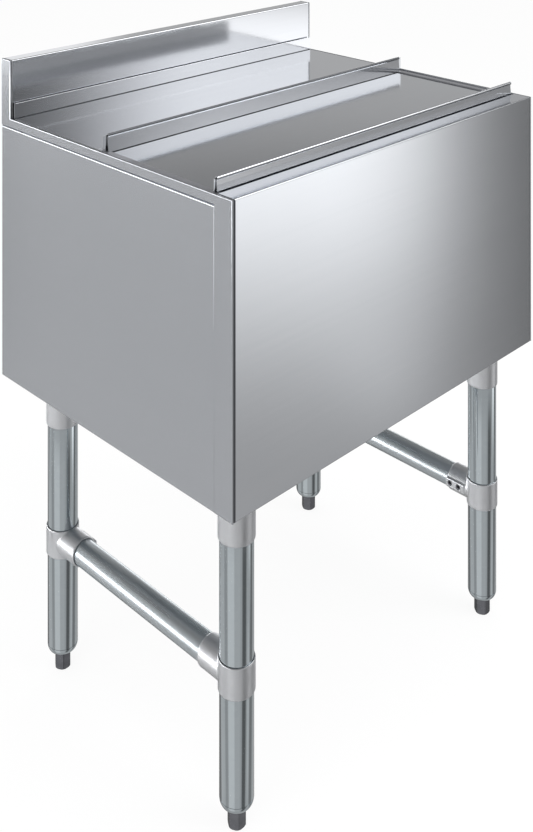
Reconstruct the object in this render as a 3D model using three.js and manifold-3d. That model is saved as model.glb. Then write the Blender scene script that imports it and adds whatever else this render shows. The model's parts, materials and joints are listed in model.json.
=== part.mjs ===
// Stainless underbar ice storage bin on four tubular legs.
// Millimetres, +Z up, the front faces -Y, the origin is on the floor under the middle of the bin.

import * as THREE from 'three';
import { mergeVertices } from 'three/addons/utils/BufferGeometryUtils.js';
import Module from 'manifold-3d';

const wasm = await Module();
wasm.setup();

// Driving dimensions

const gap = 0.3; // between pieces that touch
const overrun = 5; // how far a cutter passes the face that it cuts
const mergeDistance = 1e-4; // corners of one solid that count as the same corner

const bin = {
  width: 609.6,
  depth: 470,
  rimHeight: 759,
  casingHeight: 362,
  sheet: 1.2,
};

const endFrame = {
  sheet: 1.5,
  thickness: 3, // the sheet doubled back on itself along the visible edges
  edgeRound: 1.35,
  stripWidth: 30, // beside the front panel
  bandHeight: 12, // along the top of the side
  hemDepth: 12,
};

const splash = {
  rise: 80.5,
  thickness: 22,
  bend: 2,
  panelLap: 10, // how far the back panel reaches up inside
};

const frontPanel = {
  ledgeDepth: 27,
  sideReturn: 20,
  bottomReturn: 20,
  bend: 1.6,
  sideGap: 0.4,
};

const sidePanel = {
  inset: 0.2, // behind the end frame's face
  seam: 1, // under the band
  topBend: 2.5,
  backBend: 2.5,
  frontBend: 0.4,
  bottomBend: 1.6,
  topReturn: 12,
  frontReturn: 15,
  backReturn: 15,
  bottomReturn: 30,
};

const bottomPanel = { flange: 19, bend: 2.4 };

const foam = { topDrop: 22, sideWeb: 17 };

const liner = {
  wall: 1.2,
  frontWall: 30, // front face of the bin to the inside of the liner
  sideWall: 30,
  backWall: 32,
  floorWall: 57, // casing's underside to the liner's floor
  cornerRadius: 15,
  floorRadius: 12,
  flangeInset: 5.2, // side of the bin to the edge of the flange
  flangeFront: 14,
  flangeBack: 10,
};

const lid = {
  sheet: 1.2,
  sink: 0.3, // rear lid's surface under the rim
  step: 3.3, // front lid's surface under the rear lid's
  sideClear: 1,
  overlap: 12, // front lid under rear lid
  frontEdge: 35, // front of the bin to the back of the front handle
  backGap: 3.3, // rear lid to the backsplash
  rearDepth: 200.6, // back of the rear handle to the back of the rear lid
};

const handle = {
  height: 21, // over its lid's surface
  beadRadius: 2.2,
  faceRecess: 1.8, // of the flat face behind the bead
  frontHemInset: 2.5, // hem shorter than the upright, each end
  rearHemInset: 7,
};

const track = {
  sheet: 1.2,
  upperWidth: 10,
  reach: 29.4, // side of the bin to the inner edge of the lower step
  glide: 1.5,
};

const drain = {
  flangeRadius: 37.5,
  flangeThickness: 1.5,
  bodyRadius: 24,
  bodyBore: 20,
  bodyDepth: 38, // under the liner's floor
  outletRadius: 16.7,
  outletBore: 13.3,
  outletDrop: 25, // under the casing
  seatDepth: 4,
  seatRadius: 23,
  gasketWidth: 12,
  gasketThickness: 3.2,
  nutWidth: 64,
  nutThickness: 8,
  strainerThickness: 1.5,
  strainerHoleRadius: 2.2,
  strainerRingRadii: [7.5, 15.5],
  strainerRingHoles: [6, 12],
};

const leg = {
  fromSide: 54.5,
  fromFront: 50,
  fromBack: 69.5,
  tubeRadius: 20.65,
  tubeWall: 1.5,
  tubeBottom: 34,
  headGap: 7, // tube's top to the casing's underside
};

const channel = { width: 60, height: 16, flange: 8, endGap: 3 };

const brace = { tubeRadius: 16.7, tubeWall: 1.5 };

const socket = {
  radius: 22.5,
  length: 60, // under the casing
  flangeRadius: 38,
  flangeThickness: 3,
  chamfer: 1.6,
  screwHeight: 24, // over the mouth
  bossRadius: 7,
  bossRise: 3,
};

const tee = {
  radius: 22.4,
  height: 38.4,
  centre: 178.5, // over the floor
  branchRadius: 19.1,
  branchReach: 50, // leg axis to the end of the branch
  wallToLeg: 1.6, // between the leg's bore and the branch's
  chamfer: 1.2,
  padRise: 2.2,
  padHeight: 13,
  padStart: 18,
  screwPlaces: [28, 43], // from the leg axis
};

const screw = { radius: 3.8, keyWidth: 4, keyDepth: 3, recess: 0.5 };

const foot = {
  insertDomeTop: 34,
  insertNose: 24, // height over the floor
  noseRadius: 13.5,
  plugHeight: 32,
  hexWidth: 20,
  hexTurn: 0.26, // radians
  tipRadius: 7,
  tipHeight: 5,
  stemRadius: 6,
  stemHeight: 50, // over the hexagon
};

const roundSides = 24;
const smallSides = 12;
const bendSteps = 3;

// Places worked out from the driving dimensions

const right = bin.width / 2;
const left = -right;
const back = bin.depth / 2;
const front = -back;
const rim = bin.rimHeight;
const base = rim - bin.casingHeight;
const splashFront = back - splash.thickness;
const splashTop = rim + splash.rise;
const bandBottom = rim - endFrame.bandHeight;

const rearLidTop = rim - lid.sink;
const rearLidBottom = rearLidTop - lid.sheet;
const frontLidTop = rearLidTop - lid.step;
const frontLidBottom = frontLidTop - lid.sheet;
const upperGlideTop = rearLidBottom - gap;
const lowerGlideTop = frontLidBottom - gap;
const upperTrackTop = upperGlideTop - track.glide - gap;
const lowerTrackTop = lowerGlideTop - track.glide - gap;
const linerFlangeTop = lowerTrackTop - track.sheet - gap;
const linerFloor = base + liner.floorWall;

const trackFromSide = endFrame.thickness + frontPanel.sideGap;
const trackStep = trackFromSide + track.upperWidth;
const glideStart = trackFromSide + frontPanel.sideGap;
const glideStep = trackStep + gap + track.glide;
const rearLidFromSide = endFrame.thickness + lid.sideClear;
const frontLidFromSide = glideStep + lid.sideClear;
const trackFront = front + frontPanel.ledgeDepth + gap;
const trackBack = splashFront - gap;

const bottomPanelZ = base + bin.sheet + gap;
const channelZ = bottomPanelZ + bin.sheet + gap;
const backPanelFront = back - bin.sheet - gap - bin.sheet;
const legPlaces = [];
for (const [endName, y] of [
  ['front', front + leg.fromFront],
  ['back', back - leg.fromBack],
]) {
  for (const [sideName, side] of [['left', -1], ['right', 1]]) {
    legPlaces.push({
      name: `${endName}_${sideName}`,
      x: side * (right - leg.fromSide),
      y,
      side,
      inward: endName === 'front' ? 1 : -1,
    });
  }
}

// Materials

function metal(color, roughness) {
  return new THREE.MeshStandardMaterial({ color, roughness, metalness: 1 });
}

function plastic(color, roughness) {
  return new THREE.MeshStandardMaterial({ color, roughness, metalness: 0 });
}

const brushedStainless = metal(0xb9bcc0, 0.28);
const polishedStainless = metal(0xc4c7cb, 0.18);
const galvanisedTube = metal(0xa3acb0, 0.3);
const castFitting = metal(0xb8babd, 0.5);
const hiddenSteel = metal(0x9a9ea2, 0.5);
const darkSteel = metal(0x4a4b4d, 0.45);
const blackNylon = plastic(0x2a2b2d, 0.5);
const foamYellow = plastic(0xd8c58a, 0.95);
const blackRubber = plastic(0x202020, 0.8);
const darkPlastic = plastic(0x3a3a3c, 0.4);

// Solids

function toSolid(geometry) {
  const bare = geometry.clone();
  bare.deleteAttribute('normal');
  bare.deleteAttribute('uv');
  const merged = mergeVertices(bare, mergeDistance);
  return new wasm.Manifold(new wasm.Mesh({
    numProp: 3,
    vertProperties: new Float32Array(merged.attributes.position.array),
    triVerts: new Uint32Array(merged.index.array),
  }));
}

function toGeometry(solid) {
  const mesh = solid.getMesh();
  const geometry = new THREE.BufferGeometry();
  geometry.setAttribute('position', new THREE.BufferAttribute(mesh.vertProperties, 3));
  geometry.setIndex(new THREE.BufferAttribute(mesh.triVerts, 1));
  return geometry;
}

function join(...solids) {
  return solids.reduce((whole, solid) => whole.add(solid));
}

function cut(solid, ...cutters) {
  return cutters.reduce((rest, cutter) => rest.subtract(cutter), solid);
}

// A block between two corners
function block(x0, x1, y0, y1, z0, z1) {
  const geometry = new THREE.BoxGeometry(x1 - x0, y1 - y0, z1 - z0);
  geometry.translate((x0 + x1) / 2, (y0 + y1) / 2, (z0 + z1) / 2);
  return toSolid(geometry);
}

// A straight cylinder along +Z from its lower end
function rod(radius, x, y, z0, z1, sides = roundSides) {
  const geometry = new THREE.CylinderGeometry(radius, radius, z1 - z0, sides);
  geometry.rotateX(Math.PI / 2);
  geometry.translate(x, y, (z0 + z1) / 2);
  return toSolid(geometry);
}

// A profile of radius and height turned about +Z
function turned(points, x, y, sides = roundSides) {
  const profile = points.map(([r, z]) => new THREE.Vector2(r, z));
  if (THREE.ShapeUtils.isClockWise(profile)) profile.reverse();
  const geometry = new THREE.LatheGeometry([...profile, profile[0]], sides);
  geometry.rotateX(Math.PI / 2);
  geometry.translate(x, y, 0);
  return toSolid(geometry);
}

function prism(points, length, extra = {}) {
  const shape = new THREE.Shape(points.map(([a, b]) => new THREE.Vector2(a, b)));
  const settings = { depth: length, bevelEnabled: false, steps: 1, ...extra };
  return new THREE.ExtrudeGeometry(shape, settings);
}

// A section drawn in Y and Z, carried along X
function alongX(points, x0, x1) {
  const geometry = prism(points, x1 - x0);
  geometry.applyMatrix4(new THREE.Matrix4().set(0, 0, 1, x0, 1, 0, 0, 0, 0, 1, 0, 0, 0, 0, 0, 1));
  return toSolid(geometry);
}

// A section drawn in X and Z, carried along Y
function alongY(points, y0, y1) {
  const geometry = prism(points, y1 - y0);
  geometry.applyMatrix4(new THREE.Matrix4().set(1, 0, 0, 0, 0, 0, -1, y1, 0, 1, 0, 0, 0, 0, 0, 1));
  return toSolid(geometry);
}

// A section drawn in X and Y, carried along Z
function alongZ(points, z0, z1) {
  const geometry = prism(points, z1 - z0);
  geometry.translate(0, 0, z0);
  return toSolid(geometry);
}

function turnAboutZ(solid, quarterTurns) {
  return solid.rotate([0, 0, 90 * quarterTurns]);
}

// A bent line: each inner corner becomes an arc of its own radius
function roundedLine(points, radii) {
  const line = [points[0]];
  for (let i = 1; i < points.length - 1; i++) {
    const corner = new THREE.Vector2(...points[i]);
    const before = new THREE.Vector2(...points[i - 1]).sub(corner).normalize();
    const after = new THREE.Vector2(...points[i + 1]).sub(corner).normalize();
    const half = Math.acos(before.dot(after)) / 2;
    const radius = radii[i - 1];
    if (radius <= 0) {
      line.push(points[i]);
      continue;
    }
    const middle = before.clone().add(after).normalize();
    const centre = corner.clone().addScaledVector(middle, radius / Math.sin(half));
    const start = corner.clone().addScaledVector(before, radius / Math.tan(half)).sub(centre);
    const sweep = Math.PI - 2 * half;
    const turn = -Math.sign(before.cross(after)) * sweep;
    for (let step = 0; step <= bendSteps; step++) {
      const place = start.clone().rotateAround(new THREE.Vector2(), turn * step / bendSteps);
      line.push([centre.x + place.x, centre.y + place.y]);
    }
  }
  line.push(points[points.length - 1]);
  return line;
}

// The outline of a folded sheet. The points run along its outer face, and its
// thickness lies to the left of their direction when side is 1.
function foldedSheet(points, thickness, bend, side = 1) {
  const inner = [];
  const outerRadii = [];
  const innerRadii = [];
  const normals = points.slice(1).map((point, i) => {
    const along = new THREE.Vector2(...point).sub(new THREE.Vector2(...points[i])).normalize();
    return new THREE.Vector2(-along.y, along.x).multiplyScalar(side);
  });
  points.forEach((point, i) => {
    const before = normals[Math.max(i - 1, 0)];
    const after = normals[Math.min(i, normals.length - 1)];
    const shift = before.clone().add(after).multiplyScalar(thickness / (1 + before.dot(after)));
    inner.push([point[0] + shift.x, point[1] + shift.y]);
    if (i > 0 && i < points.length - 1) {
      const turnsInward = before.cross(after) * side > 0;
      outerRadii.push(turnsInward ? bend : bend - thickness);
      innerRadii.push(turnsInward ? bend - thickness : bend);
    }
  });
  return [...roundedLine(points, outerRadii), ...roundedLine(inner, innerRadii).reverse()];
}

// A shallow pan: its face lies in the XZ plane with the returns running along +Y.
// Each edge has a return depth and a bend radius, in the order left, right, bottom, top.
function pan(width, height, returns, bends) {
  const deepest = Math.max(...returns);
  const filled = (inset, reach) => {
    const radius = bends.map((bend) => Math.max(bend - inset, 0));
    const plan = roundedLine(
      [[inset, reach], [inset, inset], [width - inset, inset], [width - inset, reach]],
      [radius[0], radius[1]],
    );
    const side = roundedLine(
      [[reach, inset], [inset, inset], [inset, height - inset], [reach, height - inset]],
      [radius[2], radius[3]],
    );
    return alongZ(plan, inset, height - inset).intersect(alongX(side, inset, width - inset));
  };
  const shell = filled(0, deepest).subtract(filled(bin.sheet, deepest + overrun));
  const depthEnd = deepest + overrun;
  const low = bin.sheet;
  const high = height - bin.sheet;
  const edge = 2 * bin.sheet;
  return cut(
    shell,
    block(-overrun, edge, returns[0], depthEnd, low, high),
    block(width - edge, width + overrun, returns[1], depthEnd, low, high),
    block(-overrun, width + overrun, returns[2], depthEnd, -overrun, edge),
    block(-overrun, width + overrun, returns[3], depthEnd, height - edge, height + overrun),
  );
}

// Scene

const iceBin = new THREE.Group();
iceBin.name = 'ice_storage_bin';

function addTo(group, name, solid, material) {
  const mesh = new THREE.Mesh(toGeometry(solid), material);
  mesh.name = name;
  group.add(mesh);
}

function makeGroup() {
  const group = new THREE.Group();
  iceBin.add(group);
  return group;
}

// Casing

const casing = makeGroup();

function frontPanelSolid() {
  const inset = endFrame.thickness + frontPanel.sideGap;
  const { ledgeDepth, sideReturn, bottomReturn, bend } = frontPanel;
  const width = bin.width - 2 * inset;
  const lipBottom = linerFlangeTop + gap;
  const shell = pan(
    width,
    bin.casingHeight,
    [sideReturn, sideReturn, bottomReturn, ledgeDepth],
    [bend, bend, bend, bend],
  ).translate([left + inset, front, base]);
  const lip = block(
    left + inset,
    right - inset,
    front + ledgeDepth - bin.sheet,
    front + ledgeDepth,
    lipBottom,
    rim - bin.sheet / 2,
  );
  return shell.add(lip);
}

function sidePanelSolid(side) {
  const length = bin.depth - endFrame.stripWidth - gap;
  const height = bin.casingHeight - endFrame.bandHeight - sidePanel.seam;
  const { frontReturn, backReturn, bottomReturn, topReturn } = sidePanel;
  const { frontBend, backBend, bottomBend, topBend } = sidePanel;
  if (side < 0) {
    const shell = pan(
      length,
      height,
      [backReturn, frontReturn, bottomReturn, topReturn],
      [backBend, frontBend, bottomBend, topBend],
    );
    return turnAboutZ(shell, -1).translate([left + sidePanel.inset, back, base]);
  }
  const shell = pan(
    length,
    height,
    [frontReturn, backReturn, bottomReturn, topReturn],
    [frontBend, backBend, bottomBend, topBend],
  );
  return turnAboutZ(shell, 1).translate([right - sidePanel.inset, back - length, base]);
}

// The end frame is one welded piece: the strip beside the front panel, the band along
// the rim and the end of the backsplash.
function endFrameSolid(side) {
  const { thickness, edgeRound, stripWidth, hemDepth, sheet } = endFrame;
  const spare = 2 * edgeRound;
  const outline = [
    [front, base],
    [front + stripWidth + spare, base],
    [front + stripWidth + spare, bandBottom - spare],
    [back, bandBottom - spare],
    [back, splashTop],
    [splashFront, splashTop],
    [splashFront, rim],
    [front, rim],
  ];
  const geometry = prism(outline, thickness - 2 * edgeRound, {
    bevelEnabled: true,
    bevelThickness: edgeRound,
    bevelSize: edgeRound,
    bevelOffset: -edgeRound,
    bevelSegments: bendSteps,
  });
  geometry.translate(0, 0, edgeRound);
  geometry.applyMatrix4(new THREE.Matrix4().set(0, 0, 1, 0, 1, 0, 0, 0, 0, 1, 0, 0, 0, 0, 0, 1));
  const outer = side < 0 ? left : right - thickness;
  const plate = toSolid(geometry).translate([outer, 0, 0]);
  const hollowFrom = side < 0 ? left + sheet : right - thickness - overrun;
  const hollowTo = side < 0 ? left + thickness + overrun : right - sheet;
  return cut(
    plate,
    block(
      left - overrun,
      right + overrun,
      front + stripWidth,
      back + overrun,
      base - overrun,
      bandBottom,
    ),
    block(
      hollowFrom,
      hollowTo,
      front + hemDepth,
      front + stripWidth + overrun,
      base + hemDepth,
      bandBottom,
    ),
  );
}

function backsplashSolid() {
  const line = [
    [splashFront, linerFlangeTop + gap],
    [splashFront, splashTop],
    [back, splashTop],
    [back, bandBottom],
  ];
  const inset = endFrame.thickness + gap;
  return alongX(foldedSheet(line, bin.sheet, splash.bend, -1), left + inset, right - inset);
}

// Its upper corners are notched round the side panels' top returns
function backPanelSolid() {
  const inset = endFrame.thickness + gap;
  const notch = sidePanel.inset + sidePanel.topReturn + gap;
  const notchBottom = bandBottom - sidePanel.seam - bin.sheet - gap;
  const panelBack = backPanelFront + bin.sheet;
  const top = rim + splash.panelLap;
  return join(
    block(left + inset, right - inset, backPanelFront, panelBack, base + bin.sheet + gap, notchBottom),
    block(left + notch, right - notch, backPanelFront, panelBack, notchBottom - gap, top),
  );
}

function bottomPanelSolid() {
  const inset = sidePanel.inset + sidePanel.frontReturn + gap;
  const panelFront = front + bin.sheet + gap;
  const panelBack = backPanelFront - gap;
  const line = [
    [panelFront, bottomPanelZ + bottomPanel.flange],
    [panelFront, bottomPanelZ],
    [panelBack, bottomPanelZ],
    [panelBack, bottomPanelZ + bottomPanel.flange],
  ];
  const sheet = alongX(foldedSheet(line, bin.sheet, bottomPanel.bend), left + inset, right - inset);
  const hole = drain.outletRadius + gap;
  return sheet.subtract(rod(hole, 0, 0, base - overrun, channelZ + overrun));
}

addTo(casing, 'front_panel', frontPanelSolid(), brushedStainless);
addTo(casing, 'left_side_panel', sidePanelSolid(-1), brushedStainless);
addTo(casing, 'right_side_panel', sidePanelSolid(1), brushedStainless);
addTo(casing, 'left_end_frame', endFrameSolid(-1), brushedStainless);
addTo(casing, 'right_end_frame', endFrameSolid(1), brushedStainless);
addTo(casing, 'backsplash', backsplashSolid(), polishedStainless);
addTo(casing, 'back_panel', backPanelSolid(), brushedStainless);
addTo(casing, 'bottom_panel', bottomPanelSolid(), hiddenSteel);

// Liner, insulation and drain

const inside = makeGroup();
const cavityFront = front + liner.frontWall;
const cavityBack = back - liner.backWall;
const cavityRight = right - liner.sideWall;

// A tub with round corners and a round floor edge, open at the height given
function tubSolid(grow, floorZ, topZ) {
  const radius = liner.cornerRadius + grow;
  const round = liner.floorRadius + grow;
  const x = cavityRight + grow;
  const outline = roundedLine(
    [
      [0, cavityFront - grow],
      [x, cavityFront - grow],
      [x, cavityBack + grow],
      [-x, cavityBack + grow],
      [-x, cavityFront - grow],
      [0, cavityFront - grow],
    ],
    [radius, radius, radius, radius],
  ).slice(0, -1);
  const geometry = prism(outline, topZ - floorZ, {
    bevelEnabled: true,
    bevelThickness: round,
    bevelSize: round,
    bevelOffset: -round,
    bevelSegments: bendSteps,
  });
  geometry.translate(0, 0, floorZ + round);
  const above = block(left, right, front, back, topZ, topZ + bin.casingHeight);
  return toSolid(geometry).subtract(above);
}

function linerSolid() {
  const flangeBottom = linerFlangeTop - liner.wall;
  const flange = block(
    left + liner.flangeInset,
    right - liner.flangeInset,
    front + liner.flangeFront,
    back - liner.flangeBack,
    flangeBottom,
    linerFlangeTop,
  );
  const outside = tubSolid(liner.wall, linerFloor - liner.wall, linerFlangeTop).add(flange);
  const hollow = tubSolid(0, linerFloor, linerFlangeTop + overrun);
  const hole = rod(drain.bodyRadius + gap, 0, 0, linerFloor - 2 * overrun, linerFloor + overrun);
  return cut(outside, hollow, hole);
}

function foamSolid() {
  const bottom = channelZ;
  const top = rim - foam.topDrop;
  const sideInner = sidePanel.inset + bin.sheet + gap;
  const returnY = front + endFrame.stripWidth + gap + bin.sheet + gap;
  const frontY = front + bin.sheet + bottomPanel.bend + 2 * gap;
  const backY = backPanelFront - bottomPanel.bend - 2 * gap;
  const clear = liner.wall + gap;
  const pocket = Math.max(drain.nutWidth / Math.sqrt(3), drain.bodyRadius + drain.gasketWidth) + gap;
  const pocketDepth = liner.wall + drain.gasketThickness + drain.nutThickness + 4 * gap;
  let solid = join(
    block(left + foam.sideWeb, right - foam.sideWeb, frontY, backY, bottom, top),
    block(left + sideInner, right - sideInner, returnY, backY, bottom, top),
  );
  solid = cut(
    solid,
    tubSolid(clear, linerFloor - clear, top + overrun),
    rod(drain.bodyRadius + gap, 0, 0, bottom - overrun, linerFloor),
    rod(pocket, 0, 0, linerFloor - pocketDepth, linerFloor),
  );
  for (const side of [-1, 1]) {
    const x = side * (right - leg.fromSide);
    const half = channel.width / 2 + channel.flange + gap;
    const roof = channelZ + channel.height + bin.sheet + gap;
    solid = solid.subtract(block(x - half, x + half, front, back, bottom - overrun, roof));
  }
  return solid;
}

function drainBodySolid() {
  const top = linerFloor + gap + drain.flangeThickness;
  const shoulder = linerFloor - drain.bodyDepth;
  const end = base - drain.outletDrop;
  const neck = shoulder - drain.flangeThickness * 2;
  return turned([
    [drain.seatRadius, top],
    [drain.flangeRadius, top],
    [drain.flangeRadius, linerFloor + gap],
    [drain.bodyRadius, linerFloor + gap],
    [drain.bodyRadius, neck],
    [drain.outletRadius, neck - drain.flangeThickness],
    [drain.outletRadius, end],
    [drain.outletBore, end],
    [drain.outletBore, neck],
    [drain.bodyBore, shoulder],
    [drain.bodyBore, top - drain.seatDepth],
    [drain.seatRadius, top - drain.seatDepth],
  ], 0, 0);
}

function ringSolid(innerRadius, outerRadius, z0, z1) {
  return turned([[innerRadius, z0], [outerRadius, z0], [outerRadius, z1], [innerRadius, z1]], 0, 0);
}

function hexagon(width, turn = 0) {
  const radius = width / Math.sqrt(3);
  return Array.from({ length: 6 }, (_, i) => {
    const angle = turn + (i * Math.PI) / 3;
    return [radius * Math.cos(angle), radius * Math.sin(angle)];
  });
}

function strainerSolid() {
  const z0 = linerFloor + gap + drain.flangeThickness - drain.seatDepth + gap;
  const z1 = z0 + drain.strainerThickness;
  let disc = rod(drain.seatRadius - gap, 0, 0, z0, z1);
  drain.strainerRingRadii.forEach((radius, ring) => {
    const count = drain.strainerRingHoles[ring];
    for (let i = 0; i < count; i++) {
      const angle = (2 * Math.PI * i) / count;
      const x = radius * Math.cos(angle);
      const y = radius * Math.sin(angle);
      const hole = rod(drain.strainerHoleRadius, x, y, z0 - overrun, z1 + overrun, 8);
      disc = disc.subtract(hole);
    }
  });
  return disc;
}

const gasketTop = linerFloor - liner.wall - gap;
const gasketBottom = gasketTop - drain.gasketThickness;
const nutTop = gasketBottom - gap;
const drainClear = drain.bodyRadius + gap;

addTo(inside, 'ice_liner', linerSolid(), polishedStainless);
addTo(inside, 'insulation_foam', foamSolid(), foamYellow);
addTo(inside, 'drain_body', drainBodySolid(), polishedStainless);
addTo(
  inside,
  'drain_gasket',
  ringSolid(drainClear, drain.bodyRadius + drain.gasketWidth, gasketBottom, gasketTop),
  blackRubber,
);
addTo(
  inside,
  'drain_locknut',
  alongZ(hexagon(drain.nutWidth), nutTop - drain.nutThickness, nutTop).subtract(
    rod(drainClear, 0, 0, nutTop - drain.nutThickness - overrun, nutTop + overrun),
  ),
  hiddenSteel,
);
addTo(inside, 'drain_strainer', strainerSolid(), polishedStainless);

// Lid tracks and their glide strips, stepped so that the front lid runs under the rear one

const rails = makeGroup();

function steppedStrip(side, points, thickness) {
  const line = points.map(([fromSide, z]) => [side * (right - fromSide), z]);
  return alongY(foldedSheet(line, thickness, thickness, side), trackFront, trackBack);
}

for (const [sideName, side] of [['left', -1], ['right', 1]]) {
  addTo(
    rails,
    `${sideName}_lid_track`,
    steppedStrip(side, [
      [trackFromSide, bandBottom - sidePanel.seam + gap],
      [trackFromSide, upperTrackTop],
      [trackStep, upperTrackTop],
      [trackStep, lowerTrackTop],
      [track.reach, lowerTrackTop],
    ], track.sheet),
    brushedStainless,
  );
  addTo(
    rails,
    `${sideName}_glide_strip`,
    steppedStrip(side, [
      [glideStart, upperGlideTop],
      [glideStep, upperGlideTop],
      [glideStep, lowerGlideTop],
      [track.reach - lid.sideClear, lowerGlideTop],
    ], track.glide),
    blackNylon,
  );
}

// Lids

// The upright of a handle: a sheet whose top is rolled into a bead and folded down
// in front. The fold is shorter than the sheet at both ends.
function handleSolid(backY, surfaceZ, bottomZ, hemInset) {
  const r = handle.beadRadius;
  const top = surfaceZ + handle.height;
  const reach = right - rearLidFromSide;
  const sheetFace = backY - lid.sheet;
  const foldFace = backY - 2 * r + handle.faceRecess;
  const beadY = backY - r;
  const beadZ = top - r;
  const upright = [
    [sheetFace, bottomZ],
    [backY, bottomZ],
    [backY, beadZ],
    [backY - lid.sheet / 2, top - lid.sheet / 2],
    [sheetFace, top - lid.sheet],
  ];
  const foldTurn = Math.acos((beadY - foldFace) / r);
  const fold = [[backY, bottomZ], [backY, beadZ]];
  for (let step = 1; step <= 3 * bendSteps; step++) {
    const angle = ((Math.PI + foldTurn) * step) / (3 * bendSteps);
    fold.push([beadY + r * Math.cos(angle), beadZ + r * Math.sin(angle)]);
  }
  fold.push([foldFace, bottomZ]);
  return join(alongX(upright, -reach, reach), alongX(fold, -reach + hemInset, reach - hemInset));
}

const frontLid = makeGroup();
const rearLid = makeGroup();
const frontHandleBack = front + lid.frontEdge;
const rearLidBack = splashFront - lid.backGap;
const rearHandleBack = rearLidBack - lid.rearDepth;
const frontLidBack = rearHandleBack + lid.overlap;
const frontLidSide = right - frontLidFromSide;
const rearLidSide = right - rearLidFromSide;

// The front handle's ends are notched to pass over the glide strips
function frontHandleSolid() {
  const whole = handleSolid(frontHandleBack, frontLidTop, frontLidBottom, handle.frontHemInset);
  const notchFront = frontHandleBack - 2 * handle.beadRadius - overrun;
  const notch = (x0, x1) => block(
    x0,
    x1,
    notchFront,
    frontHandleBack + overrun,
    frontLidBottom - overrun,
    rearLidBottom,
  );
  return cut(whole, notch(left, -frontLidSide), notch(frontLidSide, right));
}

addTo(
  frontLid,
  'front_lid_panel',
  block(
    -frontLidSide,
    frontLidSide,
    frontHandleBack + gap,
    frontLidBack,
    frontLidBottom,
    frontLidTop,
  ),
  polishedStainless,
);
addTo(frontLid, 'front_lid_handle', frontHandleSolid(), polishedStainless);
addTo(
  rearLid,
  'rear_lid_panel',
  block(
    -rearLidSide,
    rearLidSide,
    rearHandleBack + gap,
    rearLidBack - lid.sheet - gap,
    rearLidBottom,
    rearLidTop,
  ),
  polishedStainless,
);
addTo(
  rearLid,
  'rear_lid_handle',
  handleSolid(rearHandleBack, rearLidTop, rearLidBottom, handle.rearHemInset),
  polishedStainless,
);
addTo(
  rearLid,
  'rear_lid_back_flange',
  block(
    -rearLidSide,
    rearLidSide,
    rearLidBack - lid.sheet,
    rearLidBack,
    rearLidBottom,
    rearLidTop + handle.height,
  ),
  polishedStainless,
);

// Leg channels over the bottom panel

const underframe = makeGroup();

for (const [sideName, side] of [['left', -1], ['right', 1]]) {
  const x = side * (right - leg.fromSide);
  const half = channel.width / 2;
  const rise = channelZ + channel.height;
  const section = foldedSheet(
    [
      [x - half - channel.flange, channelZ + bin.sheet],
      [x - half, channelZ + bin.sheet],
      [x - half, rise + bin.sheet],
      [x + half, rise + bin.sheet],
      [x + half, channelZ + bin.sheet],
      [x + half + channel.flange, channelZ + bin.sheet],
    ],
    bin.sheet,
    bottomPanel.bend,
    -1,
  );
  const channelFront = front + bin.sheet + gap + bin.sheet + channel.endGap;
  const channelBack = backPanelFront - gap - bin.sheet - channel.endGap;
  addTo(
    underframe,
    `${sideName}_leg_channel`,
    alongY(section, channelFront, channelBack),
    hiddenSteel,
  );
}

// Legs: socket, tube, tee, screws, domed insert and levelling foot

const legBore = leg.tubeRadius + gap;
const braceBore = brace.tubeRadius + gap;
const socketTop = base - gap;
const socketMouth = base - socket.length;
const tubeTop = base - leg.headGap;
const braceStart = legBore + tee.wallToLeg;

// A grub screw lying along Y, its key recess towards +Y
function screwSolid(length) {
  const body = rod(screw.radius, 0, 0, 0, length, smallSides);
  const key = alongZ(hexagon(screw.keyWidth), length - screw.keyDepth, length + overrun);
  return body.subtract(key).rotate([-90, 0, 0]);
}

function socketSolid() {
  const { radius, flangeRadius, flangeThickness, chamfer } = socket;
  const shell = turned([
    [legBore, socketMouth],
    [radius - chamfer / 2, socketMouth],
    [radius, socketMouth + chamfer],
    [radius, socketTop - flangeThickness],
    [flangeRadius, socketTop - flangeThickness],
    [flangeRadius, socketTop],
    [legBore, socketTop],
  ], 0, 0);
  const screwZ = socketMouth + socket.screwHeight;
  const along = (r, y0, y1, sides) => rod(r, 0, 0, y0, y1, sides).rotate([-90, 0, 0]);
  const boss = along(socket.bossRadius, legBore + gap, radius + socket.bossRise, smallSides);
  const hole = along(screw.radius + gap, 0, radius + socket.bossRise + overrun, smallSides);
  return shell.add(boss.translate([0, 0, screwZ])).subtract(hole.translate([0, 0, screwZ]));
}

// The tee's branch runs along +Y and its screw pad faces +X
function teeSolid() {
  const { radius, branchRadius, branchReach, chamfer, padRise, padHeight, padStart } = tee;
  const half = tee.height / 2;
  const padFace = branchRadius + padRise;
  const collar = (r, z0, z1, firstChamfer) => turned([
    [0, z0],
    [r - firstChamfer, z0],
    [r, z0 + firstChamfer],
    [r, z1 - chamfer],
    [r - chamfer, z1],
    [0, z1],
  ], 0, 0);
  const outside = join(
    collar(radius, -half, half, chamfer),
    collar(branchRadius, 0, branchReach, 0).rotate([-90, 0, 0]),
    block(0, padFace, padStart, branchReach, -padHeight / 2, padHeight / 2),
  );
  const legHole = rod(legBore, 0, 0, -half - overrun, half + overrun);
  const branchHole = rod(braceBore, 0, 0, braceStart, branchReach + overrun).rotate([-90, 0, 0]);
  const screwHoles = tee.screwPlaces.map((place) => {
    const hole = rod(screw.radius + gap, 0, 0, 0, padFace + overrun, smallSides);
    return hole.rotate([0, 90, 0]).translate([0, place, 0]);
  });
  return cut(outside, legHole, branchHole, ...screwHoles);
}

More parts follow.
